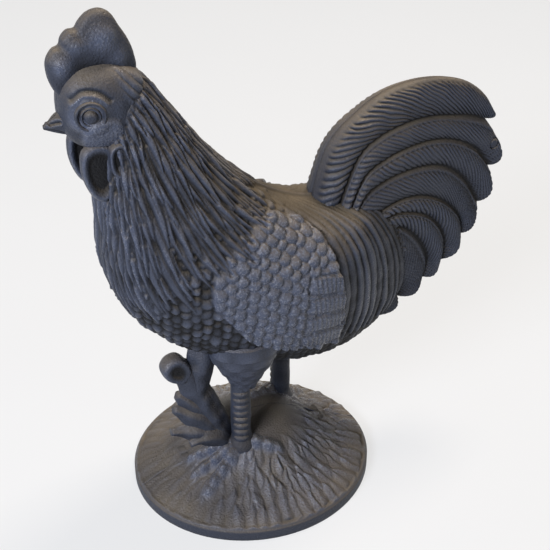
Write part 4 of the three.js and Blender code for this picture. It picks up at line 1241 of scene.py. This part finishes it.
# %% Lugs, bores and pockets
LUG_THICKNESS, LUG_RADIUS, BOLT_BORE = 6, 8, 2.8
SCREW_POCKET, SCREW_HEAD, RIVET_POCKET, RIVET_HEAD = 5.8, 3.6, 3.5, 1.7
# How far the cutters reach past the skin
BORE_REACH, SCREW_REACH, RIVET_REACH = 20, 40, 20


def prism(name, outline, low_y, high_y):
    outline = np.asarray(outline, float)
    rings = [[(x, y, z) for x, z in outline] for y in (low_y, high_y)]
    return loft(name, rings)


def rod(name, x, z, radius, low_y, high_y):
    turn = circle(48)
    return prism(name, np.c_[x + radius * np.cos(turn), z + radius * np.sin(turn)], low_y, high_y)


def centre_of(node):
    """Middle of a CAD node in millimetres from the mound's middle, and its reach along Y."""
    low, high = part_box(node)
    return ((low.x + high.x) / 2 - mound_middle) / MM, (low.z + high.z) / 2 / MM, high.y / MM


lugs = {-1: [], 1: []}
for node in ("base_bolt_front", "base_bolt_rear"):
    x, z, _ = centre_of(node)
    roof = float(ground(x, 0)) - WALL / 2
    turn = np.linspace(np.pi, 2 * np.pi, 24)
    outline = [(x + LUG_RADIUS, roof), (x - LUG_RADIUS, roof)]
    outline += list(zip(x + LUG_RADIUS * np.cos(turn), z + LUG_RADIUS * np.sin(turn)))
    for name, side in SIDES.items():
        faces = sorted((side * PARTING, side * (PARTING + LUG_THICKNESS)))
        lug = prism(f"{name}_lug_{node.split('_')[-1]}", outline, *faces)
        carve(lug, rod("bore", x, z, BOLT_BORE, -BORE_REACH, BORE_REACH))
        lugs[side].append(cast(lug, 1.0, grain_depth=0.0))

for node in ("body_screw_front", "body_screw_rear"):
    x, z, top = centre_of(node)
    carve(bodies[1], rod("pocket", x, z, SCREW_POCKET, top - SCREW_HEAD, top + SCREW_REACH))
x, z, top = centre_of("tail_rivet")
for side in SIDES.values():
    faces = sorted((side * (top - RIVET_HEAD), side * (top + RIVET_REACH)))
    carve(tails[side], rod("pocket", x, z, RIVET_POCKET, *faces))
print("bodies after cutting:", [len(piece.data.polygons) for piece in (bodies[1], tails[-1], tails[1])])

# %% [markdown]
# Each finished skin rides on the one body of the frame and stands for the half casting it belongs to.

# %% Ride and replace
halves = {side: [bodies[side], tails[side], heads[side], combs[side], eyes[side], beaks[side], *flaps[side],
                 legs[side], mounds[side], *lugs[side]] for side in SIDES.values()}
halves[-1].append(plant)
for name, side in SIDES.items():
    for piece in halves[side]:
        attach(piece, "root")
        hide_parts(name + "_half_casting")
print(sum(len(group) for group in halves.values()), "pieces ride on the bird")

# %% [markdown]
# A plain studio: a pale floor that keeps the shadow, a backdrop that only the camera and mirrors see as
# white, and two soft, nearly neutral lights, one like a window at the front left and a weaker one
# overhead. They are set to a plain level, at which a mid-grey card comes out about as grey as it is.

# %% Floor, backdrop and lights
FLOOR_HALF, FLOOR_GLOW, SURROUND_STRENGTH = 3, 0.7, 0.08
LIT_PLACE = (0, 0, 0.15)


def seen_directly(tree):
    """1 for rays from the camera, a mirror or clear glass, and 0 for the rays that only carry light."""
    ray = add_node(tree, "ShaderNodeLightPath")
    seen = maths(tree, "MAXIMUM", ray.outputs["Is Camera Ray"], ray.outputs["Is Glossy Ray"])
    return maths(tree, "MAXIMUM", seen, ray.outputs["Is Transmission Ray"])


floor_mesh = bpy.data.meshes.new("floor")
corners = [(x * FLOOR_HALF, y * FLOOR_HALF, 0) for x, y in ((-1, -1), (1, -1), (1, 1), (-1, 1))]
floor_mesh.from_pydata(corners, [], [(0, 1, 2, 3)])
floor = bpy.data.objects.new("floor", floor_mesh)
bpy.context.scene.collection.objects.link(floor)
pale_board, tree, shader, on_piece = new_material("pale matt board")
board = blend(tree, noise(tree, on_piece, 125, 2.0), "#c9c9c9", "#d2d2d2")
tree.links.new(board, shader.inputs["Base Color"])
shader.inputs["Roughness"].default_value = 0.8
lit = maths(tree, "MULTIPLY", seen_directly(tree), FLOOR_GLOW)
glow = add_node(tree, "ShaderNodeEmission", {"Color": (1, 1, 1, 1), "Strength": 1.0})
bright = add_node(tree, "ShaderNodeMixShader", {0: lit, 1: shader, 2: glow})
tree.links.new(bright.outputs[0], tree.nodes["Material Output"].inputs["Surface"])
floor_mesh.materials.append(pale_board)
floor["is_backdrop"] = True

world = bpy.data.worlds.new("studio")
bpy.context.scene.world = world
world.use_nodes = True
tree = world.node_tree
soft = add_node(tree, "ShaderNodeBackground", {"Color": srgb("#dfe4ee"), "Strength": SURROUND_STRENGTH})
direction = add_node(tree, "ShaderNodeTexCoord").outputs["Generated"]
skyward = add_node(tree, "ShaderNodeSeparateXYZ", {0: direction}).outputs["Z"]
sweep = map_span(tree, skyward, 0.25, 0.55, 1.0, 0.1)
white = add_node(tree, "ShaderNodeBackground", {"Color": (1, 1, 1, 1), "Strength": sweep})
backdrop = add_node(tree, "ShaderNodeMixShader", {0: seen_directly(tree), 1: soft, 2: white})
tree.links.new(backdrop.outputs[0], tree.nodes["World Output"].inputs["Surface"])


def soft_light(name, place, size, power, colour):
    lamp = bpy.data.lights.new(name, "AREA")
    lamp.shape = "RECTANGLE"
    lamp.size, lamp.size_y = size
    lamp.energy = power
    lamp.color = srgb(colour)[:3]
    holder = bpy.data.objects.new(name, lamp)
    holder.location = place
    holder.rotation_euler = (Vector(LIT_PLACE) - Vector(place)).to_track_quat("-Z", "Y").to_euler()
    bpy.context.scene.collection.objects.link(holder)


soft_light("window", place=(-1.05, -0.65, 0.85), size=(0.55, 0.3), power=22, colour="#e6edff")
soft_light("ceiling", place=(0.4, 0.2, 1.25), size=(0.35, 0.3), power=12, colour="#fff2e2")
bpy.context.scene.view_settings.view_transform = "Standard"
print("two soft lights and a white backdrop")

# %% [markdown]
# The camera has the photo's viewing angle: from the bird's left, a little in front and above.

# %% Camera
AZIMUTH, ELEVATION, DISTANCE, TARGET = math.radians(-25.9), math.radians(33.4), 0.650, (16.0, 0.0, 131.0)
FOCAL_PIXELS, PHOTO_PIXELS, SENSOR_WIDTH = 1164, 550, 36
aim = Vector(TARGET) * MM + Vector((mound_middle, 0, 0))
level = math.cos(ELEVATION)
back_off = Vector((math.sin(AZIMUTH) * level, -math.cos(AZIMUTH) * level, math.sin(ELEVATION)))
camera_data = bpy.data.cameras.new("camera")
camera_data.sensor_width = SENSOR_WIDTH
camera_data.lens = FOCAL_PIXELS / PHOTO_PIXELS * SENSOR_WIDTH
camera = bpy.data.objects.new("camera", camera_data)
camera.location = aim + back_off * DISTANCE
camera.rotation_euler = (-back_off).to_track_quat("-Z", "Y").to_euler()
bpy.context.scene.collection.objects.link(camera)
bpy.context.scene.camera = camera
print("camera at", [round(v, 3) for v in camera.location])

# %% Sizes
look_low, look_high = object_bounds()
sizes = {"cad": [list(cad_low), list(cad_high)], "visual": [list(look_low), list(look_high)]}
for name, ends in sizes.items():
    print(name, "spans", [round(high - low, 4) for low, high in zip(*ends)], "metres")
